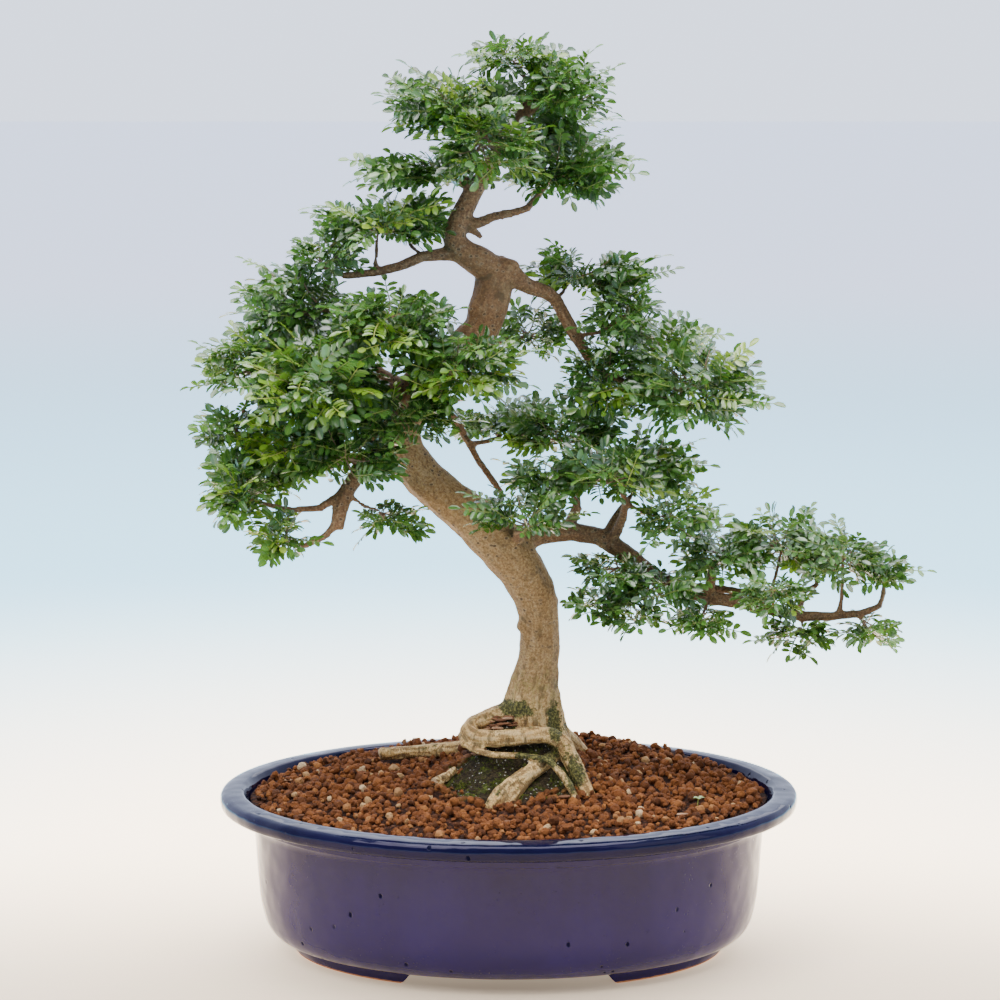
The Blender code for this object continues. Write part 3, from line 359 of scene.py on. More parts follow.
def bark_material():
    s = Shading("bark")
    height = s.height()
    wide = s.noise(16, 5)
    patch = s.noise(48, 4)
    fine = s.noise(620, 6, 0.72)
    flaky = s.noise(210, 6, 0.65, s.stretched((1, 1, 0.34)))
    wrinkle = s.noise(150, 5, 0.6, s.stretched((1, 1, 3.2)))
    streak = s.streaks(340, 0.0017, 6)
    root = s.ramp(fine, [
        (0.37, 0.3, 0.155, 0.048), (0.46, 0.62, 0.375, 0.135),
        (0.54, 0.85, 0.56, 0.22), (0.64, 0.96, 0.74, 0.39),
    ])
    stem = s.ramp(fine, [
        (0.37, 0.13, 0.068, 0.024), (0.46, 0.27, 0.155, 0.06),
        (0.55, 0.35, 0.21, 0.086), (0.66, 0.5, 0.34, 0.165),
    ])
    upper = s.ramp(fine, [
        (0.36, 0.09, 0.04, 0.016), (0.47, 0.175, 0.086, 0.036),
        (0.57, 0.245, 0.128, 0.054), (0.7, 0.34, 0.21, 0.105),
    ])
    limb = s.ramp(fine, [
        (0.36, 0.062, 0.029, 0.013), (0.48, 0.165, 0.082, 0.037),
        (0.58, 0.255, 0.14, 0.066), (0.72, 0.44, 0.29, 0.165),
    ])
    ragged = s.plus(height, s.times(wide, 0.05))
    s.colour = s.mix(s.between(ragged, 0.215, 0.165), stem, root)
    s.lay(upper, s.between(ragged, 0.36, 0.46))
    slim = s.between(s.attribute("thickness"), 0.009, 0.0055)
    s.lay(limb, slim, s.between(height, 0.15, 0.24))
    s.lay((0.2, 0.112, 0.048), s.between(wide, 0.52, 0.72), 0.3)
    s.lay((0.46, 0.35, 0.19), s.between(patch, 0.56, 0.74), 0.22)
    s.lay((0.15, 0.088, 0.04), s.between(patch, 0.42, 0.28), 0.3)
    rooted = s.between(height, 0.185, 0.15)
    tawny = s.times(rooted, s.between(s.noise(34, 5, 0.6), 0.42, 0.62))
    s.lay((0.52, 0.285, 0.09), tawny, 0.55)
    olive = s.times(s.between(ragged, 0.245, 0.2), s.between(s.noise(240, 6, 0.75), 0.47, 0.58))
    olive = s.times(olive, s.minus(1.0, s.times(rooted, 0.75)))
    s.lay((0.29, 0.235, 0.06), olive, 0.45)
    fissure = s.between(flaky, 0.47, 0.38)
    low = s.between(height, 0.26, 0.19)
    ridge = s.times(s.between(streak, 0.51, 0.56), s.plus(0.1, s.times(rooted, 0.38)))
    s.lay((0.76, 0.56, 0.3), ridge)
    groove = s.times(s.between(streak, 0.5, 0.455), s.plus(0.16, s.times(rooted, 0.6)))
    s.lay((0.15, 0.074, 0.024), groove)
    depth = s.plus(0.25, s.times(low, 0.45))
    s.lay((0.09, 0.06, 0.022), fissure, depth)
    creased = s.minus(0.28, s.times(rooted, 0.2))
    s.lay((0.1, 0.06, 0.03), s.between(wrinkle, 0.46, 0.36), creased)
    frayed = s.times(s.noise(520, 4, 0.7), 0.36)
    lenticel = s.plus(s.cells(185, place=s.stretched((1, 1, 1.3))), frayed)
    where = s.times(s.between(s.noise(52, 3), 0.4, 0.5), s.between(height, 0.185, 0.225))
    spots = s.times(s.between(lenticel, 0.42, 0.35), where)
    rims = s.times(s.between(lenticel, 0.52, 0.44), where)
    s.lay((0.4, 0.3, 0.18), rims, 0.3)
    s.lay((0.066, 0.036, 0.018), spots, 0.88)
    scale = s.cells(430)
    scales = s.times(s.between(scale, 0.17, 0.09), s.between(s.noise(60, 2), 0.48, 0.58))
    s.lay((0.52, 0.42, 0.29), scales, 0.4)
    # Painted shade: the wood is painted darker in its hollows and on low undersides.
    hollow_shade = s.between(s.attribute("hollow_shade"), 0.25, 0.85)
    s.lay((0.072, 0.046, 0.018), hollow_shade, 0.62)
    mossy = s.attribute("moss")
    broken = s.plus(s.times(s.noise(70, 4), 0.4), s.times(s.noise(420, 6, 0.8), 0.6))
    moss_mask = s.between(s.plus(broken, s.times(mossy, 0.26)), 0.615, 0.675)
    moss = s.ramp(fine, [
        (0.38, 0.02, 0.018, 0.005), (0.5, 0.06, 0.056, 0.012), (0.62, 0.24, 0.21, 0.06),
    ])
    s.lay(moss, moss_mask, s.between(mossy, 0.02, 0.12))
    rings = s.ramp(fine, [(0.38, 0.33, 0.19, 0.09), (0.62, 0.66, 0.47, 0.28)])
    s.lay(rings, s.between(s.attribute("cut"), 0.35, 0.75))
    s.surface(Base_Color=s.colour, Roughness=s.ramp(fine, [(0.36, 0.62), (0.66, 0.88)]))
    s.surface(Specular_IOR_Level=0.35)
    relief = s.bump(fine, 0.75, 0.0009)
    relief = s.bump(flaky, 0.6, 0.0012, relief)
    relief = s.bump(s.times(streak, s.plus(0.35, rooted)), 0.8, 0.0045, relief)
    relief = s.bump(wrinkle, 0.35, 0.001, relief)
    relief = s.bump(s.minus(1.0, spots), 0.5, 0.0006, relief)
    s.surface(Normal=relief)
    return s.material


def leaf_material():
    s = Shading("leaflet")
    age = s.attribute("age")
    seed = s.attribute("seed")
    across = s.attribute("across")
    along = s.attribute("along")
    mottle = s.noise(260, 3)
    old = s.ramp(seed, [
        (0.0, 0.009, 0.036, 0.007), (0.35, 0.03, 0.096, 0.016),
        (0.7, 0.072, 0.184, 0.032), (1.0, 0.155, 0.3, 0.06),
    ])
    young = s.ramp(seed, [
        (0.0, 0.088, 0.19, 0.014), (0.6, 0.185, 0.315, 0.022), (1.0, 0.33, 0.44, 0.048),
    ])
    s.colour = s.mix(s.between(age, 0.3, 0.85), old, young)
    s.lay((0.06, 0.16, 0.022), s.between(mottle, 0.45, 0.75), 0.25)
    rib = s.between(s.math("ABSOLUTE", across), 0.14, 0.02)
    s.lay((0.19, 0.33, 0.06), rib, 0.45)
    side_vein = s.math("SINE", s.plus(s.times(along, 34.0), s.times(s.math("ABSOLUTE", across), -9.0)))
    s.lay((0.12, 0.25, 0.05), s.between(side_vein, 0.55, 1.0), 0.16)
    s.surface(Base_Color=s.colour, Roughness=s.ramp(mottle, [(0.3, 0.16), (0.8, 0.32)]))
    s.surface(Specular_IOR_Level=1.0, Coat_Weight=0.55, Coat_Roughness=0.12)
    vein_relief = s.bump(side_vein, 0.25, 0.00012)
    vein_relief = s.bump(s.noise(900, 2), 0.2, 0.0001, vein_relief)
    s.surface(Normal=vein_relief)
    through = s.add("ShaderNodeBsdfTranslucent", {"Color": s.mix(0.5, s.colour, (0.2, 0.42, 0.03))})
    blend = s.add("ShaderNodeMixShader", {"Fac": 0.24})
    s.put(blend.inputs[1], s.shader.outputs["BSDF"])
    s.put(blend.inputs[2], through.outputs["BSDF"])
    s.put(s.tree.nodes["Material Output"].inputs["Surface"], blend.outputs["Shader"])
    return s.material


def stalk_material():
    s = Shading("leaf_stalk")
    age = s.attribute("age")
    s.colour = s.mix(s.between(age, 0.2, 0.8), (0.19, 0.28, 0.05), (0.4, 0.45, 0.085))
    s.lay((0.18, 0.14, 0.05), s.noise(300, 3), 0.35)
    s.surface(Base_Color=s.colour, Roughness=0.5)
    s.surface(Normal=s.bump(s.noise(1500, 2), 0.3, 0.0001))
    return s.material


def twig_material():
    s = Shading("twig")
    fine = s.noise(420, 5)
    s.colour = s.ramp(fine, [
        (0.3, 0.11, 0.065, 0.035), (0.55, 0.225, 0.145, 0.085), (0.8, 0.36, 0.265, 0.17),
    ])
    s.surface(Base_Color=s.colour, Roughness=0.8, Normal=s.bump(fine, 0.5, 0.0004))
    return s.material


def granule_material():
    s = Shading("baked_clay_granules")
    tint = s.attribute("tint")
    fine = s.noise(900, 5, 0.65)
    s.colour = s.ramp(tint, [
        (0.0, 0.036, 0.012, 0.005), (0.18, 0.076, 0.024, 0.007), (0.45, 0.15, 0.047, 0.012),
        (0.68, 0.22, 0.074, 0.019), (0.84, 0.3, 0.115, 0.032), (0.91, 0.35, 0.185, 0.075),
        (0.96, 0.47, 0.285, 0.13), (1.0, 0.6, 0.43, 0.245),
    ])
    s.lay((0.33, 0.13, 0.045), s.between(fine, 0.45, 0.75), 0.3)
    s.lay((0.07, 0.023, 0.009), s.between(fine, 0.48, 0.3), 0.5)
    green = s.times(s.attribute("moss"), s.between(s.noise(160, 4), 0.42, 0.62))
    s.lay((0.05, 0.058, 0.014), green)
    s.surface(Base_Color=s.colour, Roughness=s.ramp(fine, [(0.3, 0.8), (0.7, 0.98)]))
    s.surface(Specular_IOR_Level=0.25)
    grit = s.bump(fine, 0.75, 0.0007)
    s.surface(Normal=s.bump(s.noise(2600, 3), 0.4, 0.0002, grit))
    return s.material


def soil_material():
    s = Shading("soil_bed")
    fine = s.noise(500, 6, 0.7)
    lump = s.cells(260)
    s.colour = s.ramp(fine, [
        (0.3, 0.045, 0.017, 0.009), (0.55, 0.11, 0.04, 0.02), (0.8, 0.2, 0.08, 0.038),
    ])
    # Painted shade: darker in the gaps between the lumps.
    s.lay((0.03, 0.012, 0.007), s.between(lump, 0.2, 0.6))
    crust = s.ramp(fine, [
        (0.34, 0.012, 0.008, 0.005), (0.5, 0.034, 0.024, 0.012), (0.64, 0.085, 0.062, 0.028),
    ])
    green = s.ramp(fine, [
        (0.36, 0.03, 0.04, 0.008), (0.52, 0.09, 0.12, 0.018), (0.66, 0.22, 0.25, 0.055),
    ])
    crust = s.mix(s.between(s.noise(75, 5, 0.7), 0.53, 0.66), crust, green)
    dot = s.plus(s.cells(330), s.times(s.noise(900, 3), 0.16))
    dots = s.times(s.between(dot, 0.32, 0.24), s.between(s.noise(95, 2), 0.44, 0.54))
    crust = s.mix(s.times(dots, 0.8), crust, (0.56, 0.54, 0.46))
    s.lay(crust, s.between(s.attribute("moss"), 0.2, 0.45))
    s.surface(Base_Color=s.colour, Roughness=0.95, Specular_IOR_Level=0.2)
    s.surface(Normal=s.bump(s.noise(170, 5, 0.7), 1.0, 0.006, s.bump(fine, 0.8, 0.0012)))
    return s.material


def moss_material():
    s = Shading("moss")
    fine = s.noise(340, 4)
    tint = s.attribute("tint")
    s.colour = s.ramp(tint, [
        (0.0, 0.022, 0.032, 0.006), (0.5, 0.065, 0.09, 0.012),
        (0.85, 0.15, 0.19, 0.022), (1.0, 0.29, 0.33, 0.06),
    ])
    s.lay((0.08, 0.07, 0.018), fine, 0.5)
    s.surface(Base_Color=s.colour, Roughness=0.9, Specular_IOR_Level=0.2, Normal=s.bump(fine, 0.5, 0.0003))
    return s.material


def chip_material():
    s = Shading("bark_chip")
    tint = s.attribute("tint")
    grain = s.noise(600, 4, place=s.stretched((1, 0.3, 1)))
    s.colour = s.ramp(tint, [
        (0.0, 0.11, 0.04, 0.016), (0.6, 0.29, 0.125, 0.055), (1.0, 0.52, 0.31, 0.18),
    ])
    s.lay((0.05, 0.025, 0.016), s.between(grain, 0.5, 0.7), 0.5)
    s.surface(Base_Color=s.colour, Roughness=0.9, Normal=s.bump(grain, 0.7, 0.0005))
    return s.material


def screen_material():
    s = Shading("screen_plastic")
    fine = s.noise(700, 3)
    s.surface(Base_Color=s.ramp(fine, [(0.3, 0.012, 0.012, 0.013), (0.8, 0.03, 0.03, 0.032)]))
    s.surface(Roughness=0.55, Normal=s.bump(fine, 0.3, 0.0002))
    return s.material


def floor_material():
    """Pale paper: warm close to the object, cooler further away, and made to glow a little, mostly behind
    the object: painted light.
    """
    s = Shading("pale_floor")
    away = s.add("ShaderNodeVectorMath", {0: s.place}, operation="LENGTH").outputs["Value"]
    s.colour = s.mix(s.between(away, *FLOOR_WARM), (0.98, 0.77, 0.54), (0.42, 0.81, 1.0))
    s.lay((0.72, 0.79, 0.96), s.between(away, *FLOOR_FAR))
    s.lay((0.7, 0.72, 0.74), s.noise(6, 3), 0.06)
    depth = s.add("ShaderNodeSeparateXYZ", {"Vector": s.place}).outputs["Y"]
    lit = s.between(depth, *FLOOR_GLOW[:2])
    fading = s.minus(1.0, s.times(s.between(away, *FLOOR_WARM), 0.8))
    # Painted light: the floor glows though there is no lamp in it.
    glow = s.times(s.times(lit, fading), FLOOR_GLOW[2])
    s.surface(Base_Color=s.colour, Roughness=0.75, Specular_IOR_Level=0.2)
    s.surface(Emission_Color=s.colour, Emission_Strength=glow)
    return s.material


def set_values(mesh, values):
    """Store named numbers, one for each point of the mesh."""
    for key, numbers in values.items():
        layer = mesh.attributes.new(key, "FLOAT", "POINT")
        layer.data.foreach_set("value", np.asarray(numbers, np.float32))


def mesh_piece(
    name, verts, faces, materials, replaced, values=None, face_materials=None, smooth=True
):
    """A piece from arrays, with named numbers on its points, that stands for CAD nodes."""
    mesh = bpy.data.meshes.new(name)
    faces = faces.tolist() if isinstance(faces, np.ndarray) else faces
    mesh.from_pydata(np.asarray(verts).tolist(), [], faces)
    set_values(mesh, values or {})
    for made in materials:
        mesh.materials.append(made)
    if face_materials is not None:
        mesh.polygons.foreach_set("material_index", np.asarray(face_materials, np.int32))
    if smooth:
        mesh.shade_smooth()
    return add_piece(name, mesh, replaced)


def new_object(name, data):
    made = bpy.data.objects.new(name, data)
    bpy.context.scene.collection.objects.link(made)
    return made


def add_piece(name, mesh, replaced):
    piece = new_object(name, mesh)
    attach(piece, "root")
    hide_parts(*replaced)
    return piece


def tree_of(obj):
    corners = [v.co.copy() for v in obj.data.vertices]
    return BVHTree.FromPolygons(corners, [tuple(p.vertices) for p in obj.data.polygons])


def evaluated_mesh(obj):
    return bpy.data.meshes.new_from_object(obj.evaluated_get(bpy.context.evaluated_depsgraph_get()))


def oval_ring(inset, height, middle, segments):
    angles = np.linspace(0, 2 * math.pi, segments, endpoint=False)
    x = middle.x + (RIM_HALF[0] - inset) * MM * np.cos(angles)
    y = middle.y + (RIM_HALF[1] - inset) * MM * np.sin(angles)
    return np.stack([x, y, np.full(segments, height * MM)], 1)


def ring_faces(rings, segments, closed):
    faces = []
    last = rings if closed else rings - 1
    for i in range(last):
        a = i * segments
        b = ((i + 1) % rings) * segments
        for j in range(segments):
            k = (j + 1) % segments
            faces.append((a + j, a + k, b + k, b + j))
    return faces


def foot_lift(x, y):
    """How far the foot ring is cut away from below at a place, in millimetres."""
    front = (FOOT_GAP_FRONT[0] - abs(x)) / (FOOT_GAP_FRONT[0] - FOOT_GAP_FRONT[1])
    end = (FOOT_GAP_END[0] - abs(y)) / (FOOT_GAP_END[0] - FOOT_GAP_END[1])
    open_share = min(1.0, max(0.0, front, end))
    soft = open_share * open_share * (3 - 2 * open_share)
    return soft * (FOOT_HEIGHT + 1)


def make_pot(middle, glaze):
    profile = POT_UNDER + POT_BODY + POT_STEP + POT_FLANGE + POT_INSIDE
    rings = [oval_ring(inset, height, middle, POT_SEGMENTS) for inset, height in profile]
    verts = np.concatenate(rings)
    for i, (x, y, z) in enumerate(verts):
        share = max(0.0, z - 0.09) / 0.02
        wave = noise.noise(Vector((x * 11, y * 11, z * 30))) * RIM_WAVE * min(1, share)
        verts[i, 2] = z + wave
    faces = ring_faces(len(profile), POT_SEGMENTS, False)
    faces.append(tuple(range(POT_SEGMENTS))[::-1])
    top = (len(profile) - 1) * POT_SEGMENTS
    faces.append(tuple(range(top, top + POT_SEGMENTS)))
    bowl = bpy.data.meshes.new("bowl")
    bowl.from_pydata(verts.tolist(), [], faces)
    holder = new_object("bowl", bowl)
    cutters = bpy.data.collections.new("drains")
    bpy.context.scene.collection.children.link(cutters)
    for x in (-DRAIN_X, DRAIN_X):
        bm = bmesh.new()
        bmesh.ops.create_cone(
            bm, cap_ends=True, segments=32, depth=0.06,
            radius1=DRAIN_RADIUS * MM, radius2=DRAIN_RADIUS * MM,
        )
        bmesh.ops.translate(bm, verts=bm.verts, vec=(middle.x + x * MM, middle.y, 0.01))
        mesh = bpy.data.meshes.new("drain")
        bm.to_mesh(mesh)
        bm.free()
        cutters.objects.link(bpy.data.objects.new("drain", mesh))
    modifier = holder.modifiers.new("drains", "BOOLEAN")
    modifier.operation = "DIFFERENCE"
    modifier.operand_type = "COLLECTION"
    modifier.collection = cutters
    modifier.solver = "EXACT"
    bored = evaluated_mesh(holder)
    for obj in list(cutters.objects) + [holder]:
        bpy.data.objects.remove(obj, do_unlink=True)
    bpy.data.collections.remove(cutters)
    bm = bmesh.new()
    bm.from_mesh(bored)
    segments = 2 * POT_SEGMENTS
    ring = np.concatenate([oval_ring(inset, height, middle, segments) for inset, height in FOOT_RING])
    for i, (x, y, z) in enumerate(ring):
        lift = foot_lift((x - middle.x) / MM, (y - middle.y) / MM) * MM
        ring[i, 2] = max(z, lift)
    made = [bm.verts.new(co) for co in ring]
    for face in ring_faces(len(FOOT_RING), segments, True):
        bm.faces.new([made[i] for i in face])
    bmesh.ops.recalc_face_normals(bm, faces=bm.faces)
    mesh = bpy.data.meshes.new("glazed_pot")
    bm.to_mesh(mesh)
    bm.free()
    mesh.materials.clear()
    mesh.materials.append(glaze)
    mesh.shade_smooth()
    mesh.set_sharp_from_angle(angle=math.radians(50))
    return add_piece("glazed_pot", mesh, ["pot"])


def inside(tree, place, depth=0.0):
    """True where place lies deeper than depth inside the closed body of a tree."""
    near, normal, _, distance = tree.find_nearest(place)
    return (place - near).dot(normal) < 0 and distance > depth


class Ground:
    """The surface of the soil; x and y are measured from the pot's middle."""

    def __init__(self, middle, tree):
        self.middle = middle
        self.tree = tree

    def place(self, x, y, z):
        return Vector((self.middle.x + x, self.middle.y + y, z))

    def height(self, x, y):
        """Height of the soil at a place, with the heaps round the roots, or None beside the soil."""
        hit = self.tree.ray_cast(self.place(x, y, ABOVE_ALL_SOIL), -UP)[0]
        if hit is None:
            return None
        heaped = 0.0
        for height, mid_x, mid_y, reach_x, reach_y in HEAPS:
            away = ((x - mid_x) / reach_x) ** 2 + ((y - mid_y) / reach_y) ** 2
            heaped += height * math.exp(-away)
        return hit.z + heaped


def moss_amount(x, y):
    """How mossy the ground is, from 0 to 1: most on the mound in front of the roots."""
    mid_x, mid_y, reach_x, reach_y = MOSS_PATCH
    away = ((x - mid_x) / reach_x) ** 2 + ((y - mid_y) / reach_y) ** 2
    ragged = 1 + 0.55 * noise.noise(Vector((x * 60, y * 60, 0)))
    return math.exp(-(away * ragged) ** 2)


def make_soil_bed(ground, soil_box, soil):
    low, high = soil_box
    half = ((high.x - low.x) / 2, (high.y - low.y) / 2)
    grid = np.zeros((SOIL_RINGS, SOIL_SEGMENTS, 3))
    moss = np.zeros((SOIL_RINGS, SOIL_SEGMENTS))
    for i in range(SOIL_RINGS):
        share = (i / (SOIL_RINGS - 1)) ** 0.8
        for j in range(SOIL_SEGMENTS):
            angle = 2 * math.pi * j / SOIL_SEGMENTS
            x = half[0] * share * math.cos(angle)
            y = half[1] * share * math.sin(angle)
            z = ground.height(x * 0.985, y * 0.985)
            grid[i, j] = ground.place(x, y, z or SOIL_RIM)
            moss[i, j] = moss_amount(x, y)
    heights = grid[:, :, 2]
    for _ in range(2):
        around = (np.roll(heights, 1, 1) + np.roll(heights, -1, 1)) / 2
        inner = np.vstack([heights[:1], heights[:-1]])
        outer = np.vstack([heights[1:], heights[-1:]])
        heights = 0.4 * heights + 0.3 * around + 0.15 * (inner + outer)
    grid[:, :, 2] = heights - SOIL_SINK * (1 - moss)
    verts = grid.reshape(-1, 3)
    for i, (x, y, _) in enumerate(verts):
        coarse = 0.0009 * noise.noise(Vector((x, y, 0)) * 260)
        verts[i, 2] += coarse + 0.0006 * noise.noise(Vector((x, y, 7)) * 620)
    side = [oval_ring(inset, height, ground.middle, SOIL_SEGMENTS) for inset, height in SOIL_SIDE]
    verts = np.concatenate([verts] + side)
    faces = ring_faces(SOIL_RINGS + len(side), SOIL_SEGMENTS, False)
    faces.append(tuple(range(len(verts) - SOIL_SEGMENTS, len(verts)))[::-1])
    values = {"moss": np.concatenate([moss.ravel(), np.zeros(len(verts) - moss.size)])}
    return mesh_piece("soil_bed", verts, faces, [soil], ["soil"], values)


def ball(subdivisions):
    bm = bmesh.new()
    bmesh.ops.create_icosphere(bm, subdivisions=subdivisions, radius=1)
    verts = np.array([v.co for v in bm.verts])
    faces = np.array([[v.index for v in f.verts] for f in bm.faces])
    bm.free()
    return verts, faces


def turned(rng, count):
    """Random rotations, one 3 by 3 matrix each."""
    q = rng.normal(size=(count, 4))
    q /= np.linalg.norm(q, axis=1)[:, None]
    w, x, y, z = q.T
    return np.stack([
        np.stack([1 - 2 * (y * y + z * z), 2 * (x * y - z * w), 2 * (x * z + y * w)], 1),
        np.stack([2 * (x * y + z * w), 1 - 2 * (x * x + z * z), 2 * (y * z - x * w)], 1),
        np.stack([2 * (x * z - y * w), 2 * (y * z + x * w), 1 - 2 * (x * x + y * y)], 1),
    ], 1)


def lumps(rng, centres, radii, subdivisions, roughness):
    """Irregular stones round the centres: (points, faces, number of points each)."""
    shape, faces = ball(subdivisions)
    count = len(centres)
    stretch = rng.uniform(0.72, 1.25, (count, 1, 3))
    jitter = 1 + rng.normal(0, roughness, (count, len(shape), 1))
    verts = shape[None] * stretch * jitter
    verts = np.einsum("nij,nvj->nvi", turned(rng, count), verts)
    verts = verts * np.asarray(radii)[:, None, None] + np.asarray(centres)[:, None, :]
    all_faces = faces[None] + (np.arange(count) * len(shape))[:, None, None]
    return verts.reshape(-1, 3), all_faces.reshape(-1, 3), len(shape)


def make_granules(ground, wood_tree, soil_box, granule):
    rng = np.random.default_rng(GRANULE_SEED)
    low, high = soil_box
    half = ((high.x - low.x) / 2 - 1.2 * MM, (high.y - low.y) / 2 - 1.2 * MM)
    places = []
    rows = int(2 * half[1] / (GRANULE_PITCH * 0.87))
    columns = int(2 * half[0] / GRANULE_PITCH)
    for row in range(rows + 1):
        for column in range(columns + 1):
            x = -half[0] + (column + 0.5 * (row % 2)) * GRANULE_PITCH + rng.normal(0, 0.3) * GRANULE_PITCH
            y = -half[1] + row * GRANULE_PITCH * 0.87 + rng.normal(0, 0.3) * GRANULE_PITCH
            places.append((x, y, 0.0))
    for _ in range(GRANULE_EXTRA):
        places.append((rng.uniform(-half[0], half[0]), rng.uniform(-half[1], half[1]), 1.0))
    small = ([], [], [])
    large = ([], [], [])
    for x, y, layer in places:
        radius = GRANULE_RADIUS[0] + (GRANULE_RADIUS[1] - GRANULE_RADIUS[0]) * rng.beta(1.7, 2.6)
        tint = min(0.86, max(0.0, rng.normal(0.46, 0.19)))
        if rng.random() < 0.03:
            tint = rng.uniform(0.88, 1.0)
            radius = rng.uniform(2.0, 3.4) * MM
        if (x / (half[0] - radius)) ** 2 + (y / (half[1] - radius)) ** 2 > 1:
            continue
        z = ground.height(x, y)
        moss = moss_amount(x, y)
        if z is None or moss > MOSS_COVER * rng.uniform(0.7, 1.6):
            continue
        lifted = z + rng.uniform(-0.9, 0.1) * radius + layer * 0.9 * radius
        centre = ground.place(x, y, lifted)
        if layer and rng.random() < 0.35:
            radius *= 0.75
        near = wood_tree.find_nearest(centre)
        if inside(wood_tree, centre) or near[3] < 0.7 * radius:
            continue
        target = large if radius > 2.5 * MM else small
        target[0].append(centre)
        target[1].append(radius)
        target[2].append((tint * (1 - 0.5 * moss), moss))
    for name, (centres, radii, looks), subdivisions, roughness in (
        ("granules_small", small, 1, 0.13), ("granules_large", large, 2, 0.09),
    ):
        verts, faces, each = lumps(rng, centres, radii, subdivisions, roughness)
        looks = np.repeat(np.array(looks), each, 0)
        values = {"tint": looks[:, 0], "moss": looks[:, 1]}
        mesh_piece(name, verts, faces, [granule], ["soil"], values, smooth=False)


def knuckles(middle):
    """The cut faces of the wood, each (middle, axis, radius) in the frame."""
    return [
        (middle + Vector(place) * MM, Vector(axis).normalized(), radius * MM)
        for place, axis, radius in CUT_FACES
    ]


def neighbour_sum(values, edges):
    total = np.zeros_like(values)
    np.add.at(total, edges[:, 0], values[edges[:, 1]])
    np.add.at(total, edges[:, 1], values[edges[:, 0]])
    return total


def spread_over(values, edges, number, rounds):
    """values on the points of a mesh, each mixed with its neighbours' a number of times."""
    for _ in range(rounds):
        values = 0.5 * values + 0.5 * neighbour_sum(values, edges) / number
    return values


def grain_of(normals, edges, number):
    """The direction of the limb at each point: the one that the normals round it turn about."""
    turns = normals[:, :, None] * normals[:, None, :]
    turns = spread_over(turns.reshape(-1, 9), edges, number[:, None], GRAIN_SMOOTHING).reshape(-1, 3, 3)
    grain = np.linalg.eigh(turns)[1][:, :, 0]
    return grain * np.where(grain @ np.array((0.3, 0.35, 0.89)) < 0, -1, 1)[:, None]


def make_wood(middle, trunk, bark):
    source = new_object("wood_source", trunk.data.copy())
    remesh = source.modifiers.new("remesh", "REMESH")
    remesh.mode = "VOXEL"
    remesh.voxel_size = WOOD_VOXEL
    smooth = source.modifiers.new("smooth", "SMOOTH")
    smooth.factor = 0.5
    smooth.iterations = WOOD_SMOOTHING
    mesh = evaluated_mesh(source)
    bpy.data.objects.remove(source, do_unlink=True)
    mesh.name = "bark_wood"
    count = len(mesh.vertices)
    co = np.zeros(count * 3)
    normals = np.zeros(count * 3)
    mesh.vertices.foreach_get("co", co)
    mesh.vertices.foreach_get("normal", normals)
    co = co.reshape(-1, 3)
    normals = normals.reshape(-1, 3)
    tree = BVHTree.FromPolygons([Vector(c) for c in co], [tuple(p.vertices) for p in mesh.polygons])
    thickness = np.zeros(count)
    for i in range(count):
        start = Vector(co[i]) - Vector(normals[i]) * 0.0006
        hit = tree.ray_cast(start, -Vector(normals[i]), 0.05)
        thickness[i] = (hit[3] if hit[0] else 0.05) / 2
    edges = np.zeros(len(mesh.edges) * 2, np.int32)
    mesh.edges.foreach_get("vertices", edges)
    edges = edges.reshape(-1, 2)
    number = np.maximum(np.bincount(edges.ravel(), minlength=count), 1).astype(float)
    grain = grain_of(normals, edges, number)
    moved = np.zeros(count)
    moss = np.zeros(count)
    cut = np.zeros(count)
    cuts = knuckles(middle)
    for i in range(count):
        place = Vector(co[i])
        thick = min(1.0, thickness[i] / 0.012)
        rough = noise.fractal(place * 90, 0.8, 2.1, 4) * 0.55
        along = Vector(grain[i])
        steps = [noise.noise((place + along * step * MM) * 230) for step in GRAIN_STEPS]
        lines = sum(steps) / len(steps)
        lumpy = noise.noise(place * 34) * 0.9
        ground = max(0.0, min(1.0, (0.235 - place.z) / 0.075))
        moved[i] = WOOD_SWELL + (rough + lines * (0.5 + 0.9 * ground) + lumpy) * MM * (0.15 + 0.85 * thick)
        upward = 0.55 + 0.45 * normals[i, 2]
        moss[i] = 0.3 * ground * upward
        for mid_x, mid_z, reach_x, reach_z in MOSS_SPOTS:
            x = (place.x - middle.x - mid_x * MM) / reach_x / MM
            z = (place.z - mid_z * MM) / reach_z / MM
            if place.y < middle.y + MOSS_FRONT:
                moss[i] += math.exp(-(x ** 2 + z ** 2))
        for centre, axis, radius in cuts:
            offset = place - centre
            side = (offset - axis * offset.dot(axis)).length
            if side < radius * 1.3 and Vector(normals[i]).dot(axis) > 0.55 and offset.length < radius * 2:
                cut[i] = 1.0
    for place, rise, width in BARK_KNOTS:
        centre = tree.find_nearest(middle + Vector(place) * MM)[0]
        away = np.linalg.norm(co - np.array(centre), axis=1) / (width * MM)
        moved += rise * MM * np.exp(-away * away)
    co += normals * moved[:, None]
    mesh.vertices.foreach_set("co", co.ravel())
    # Painted shade mask: hollows, and faces turned down low on the trunk.
    hollowness = ((neighbour_sum(co, edges) / number[:, None] - co) * normals).sum(1)
    hollowness = spread_over(hollowness, edges, number, HOLLOW_SMOOTHING)
    shaded = np.clip(-0.1 - normals[:, 2], 0, 1) * np.clip((0.17 - co[:, 2]) / 0.02, 0, 1)
    hollow_shade = np.clip(hollowness / (0.045 * MM) + 1.3 * shaded, 0, 1)
    set_values(mesh, {"thickness": thickness, "moss": np.minimum(moss, 1), "cut": cut, "hollow_shade": hollow_shade})
    directions = mesh.attributes.new("grain", "FLOAT_VECTOR", "POINT")
    directions.data.foreach_set("vector", grain.ravel().astype(np.float32))
    mesh.materials.clear()
    mesh.materials.append(bark)
    mesh.shade_smooth()
    return add_piece("bark_wood", mesh, ["trunk"])


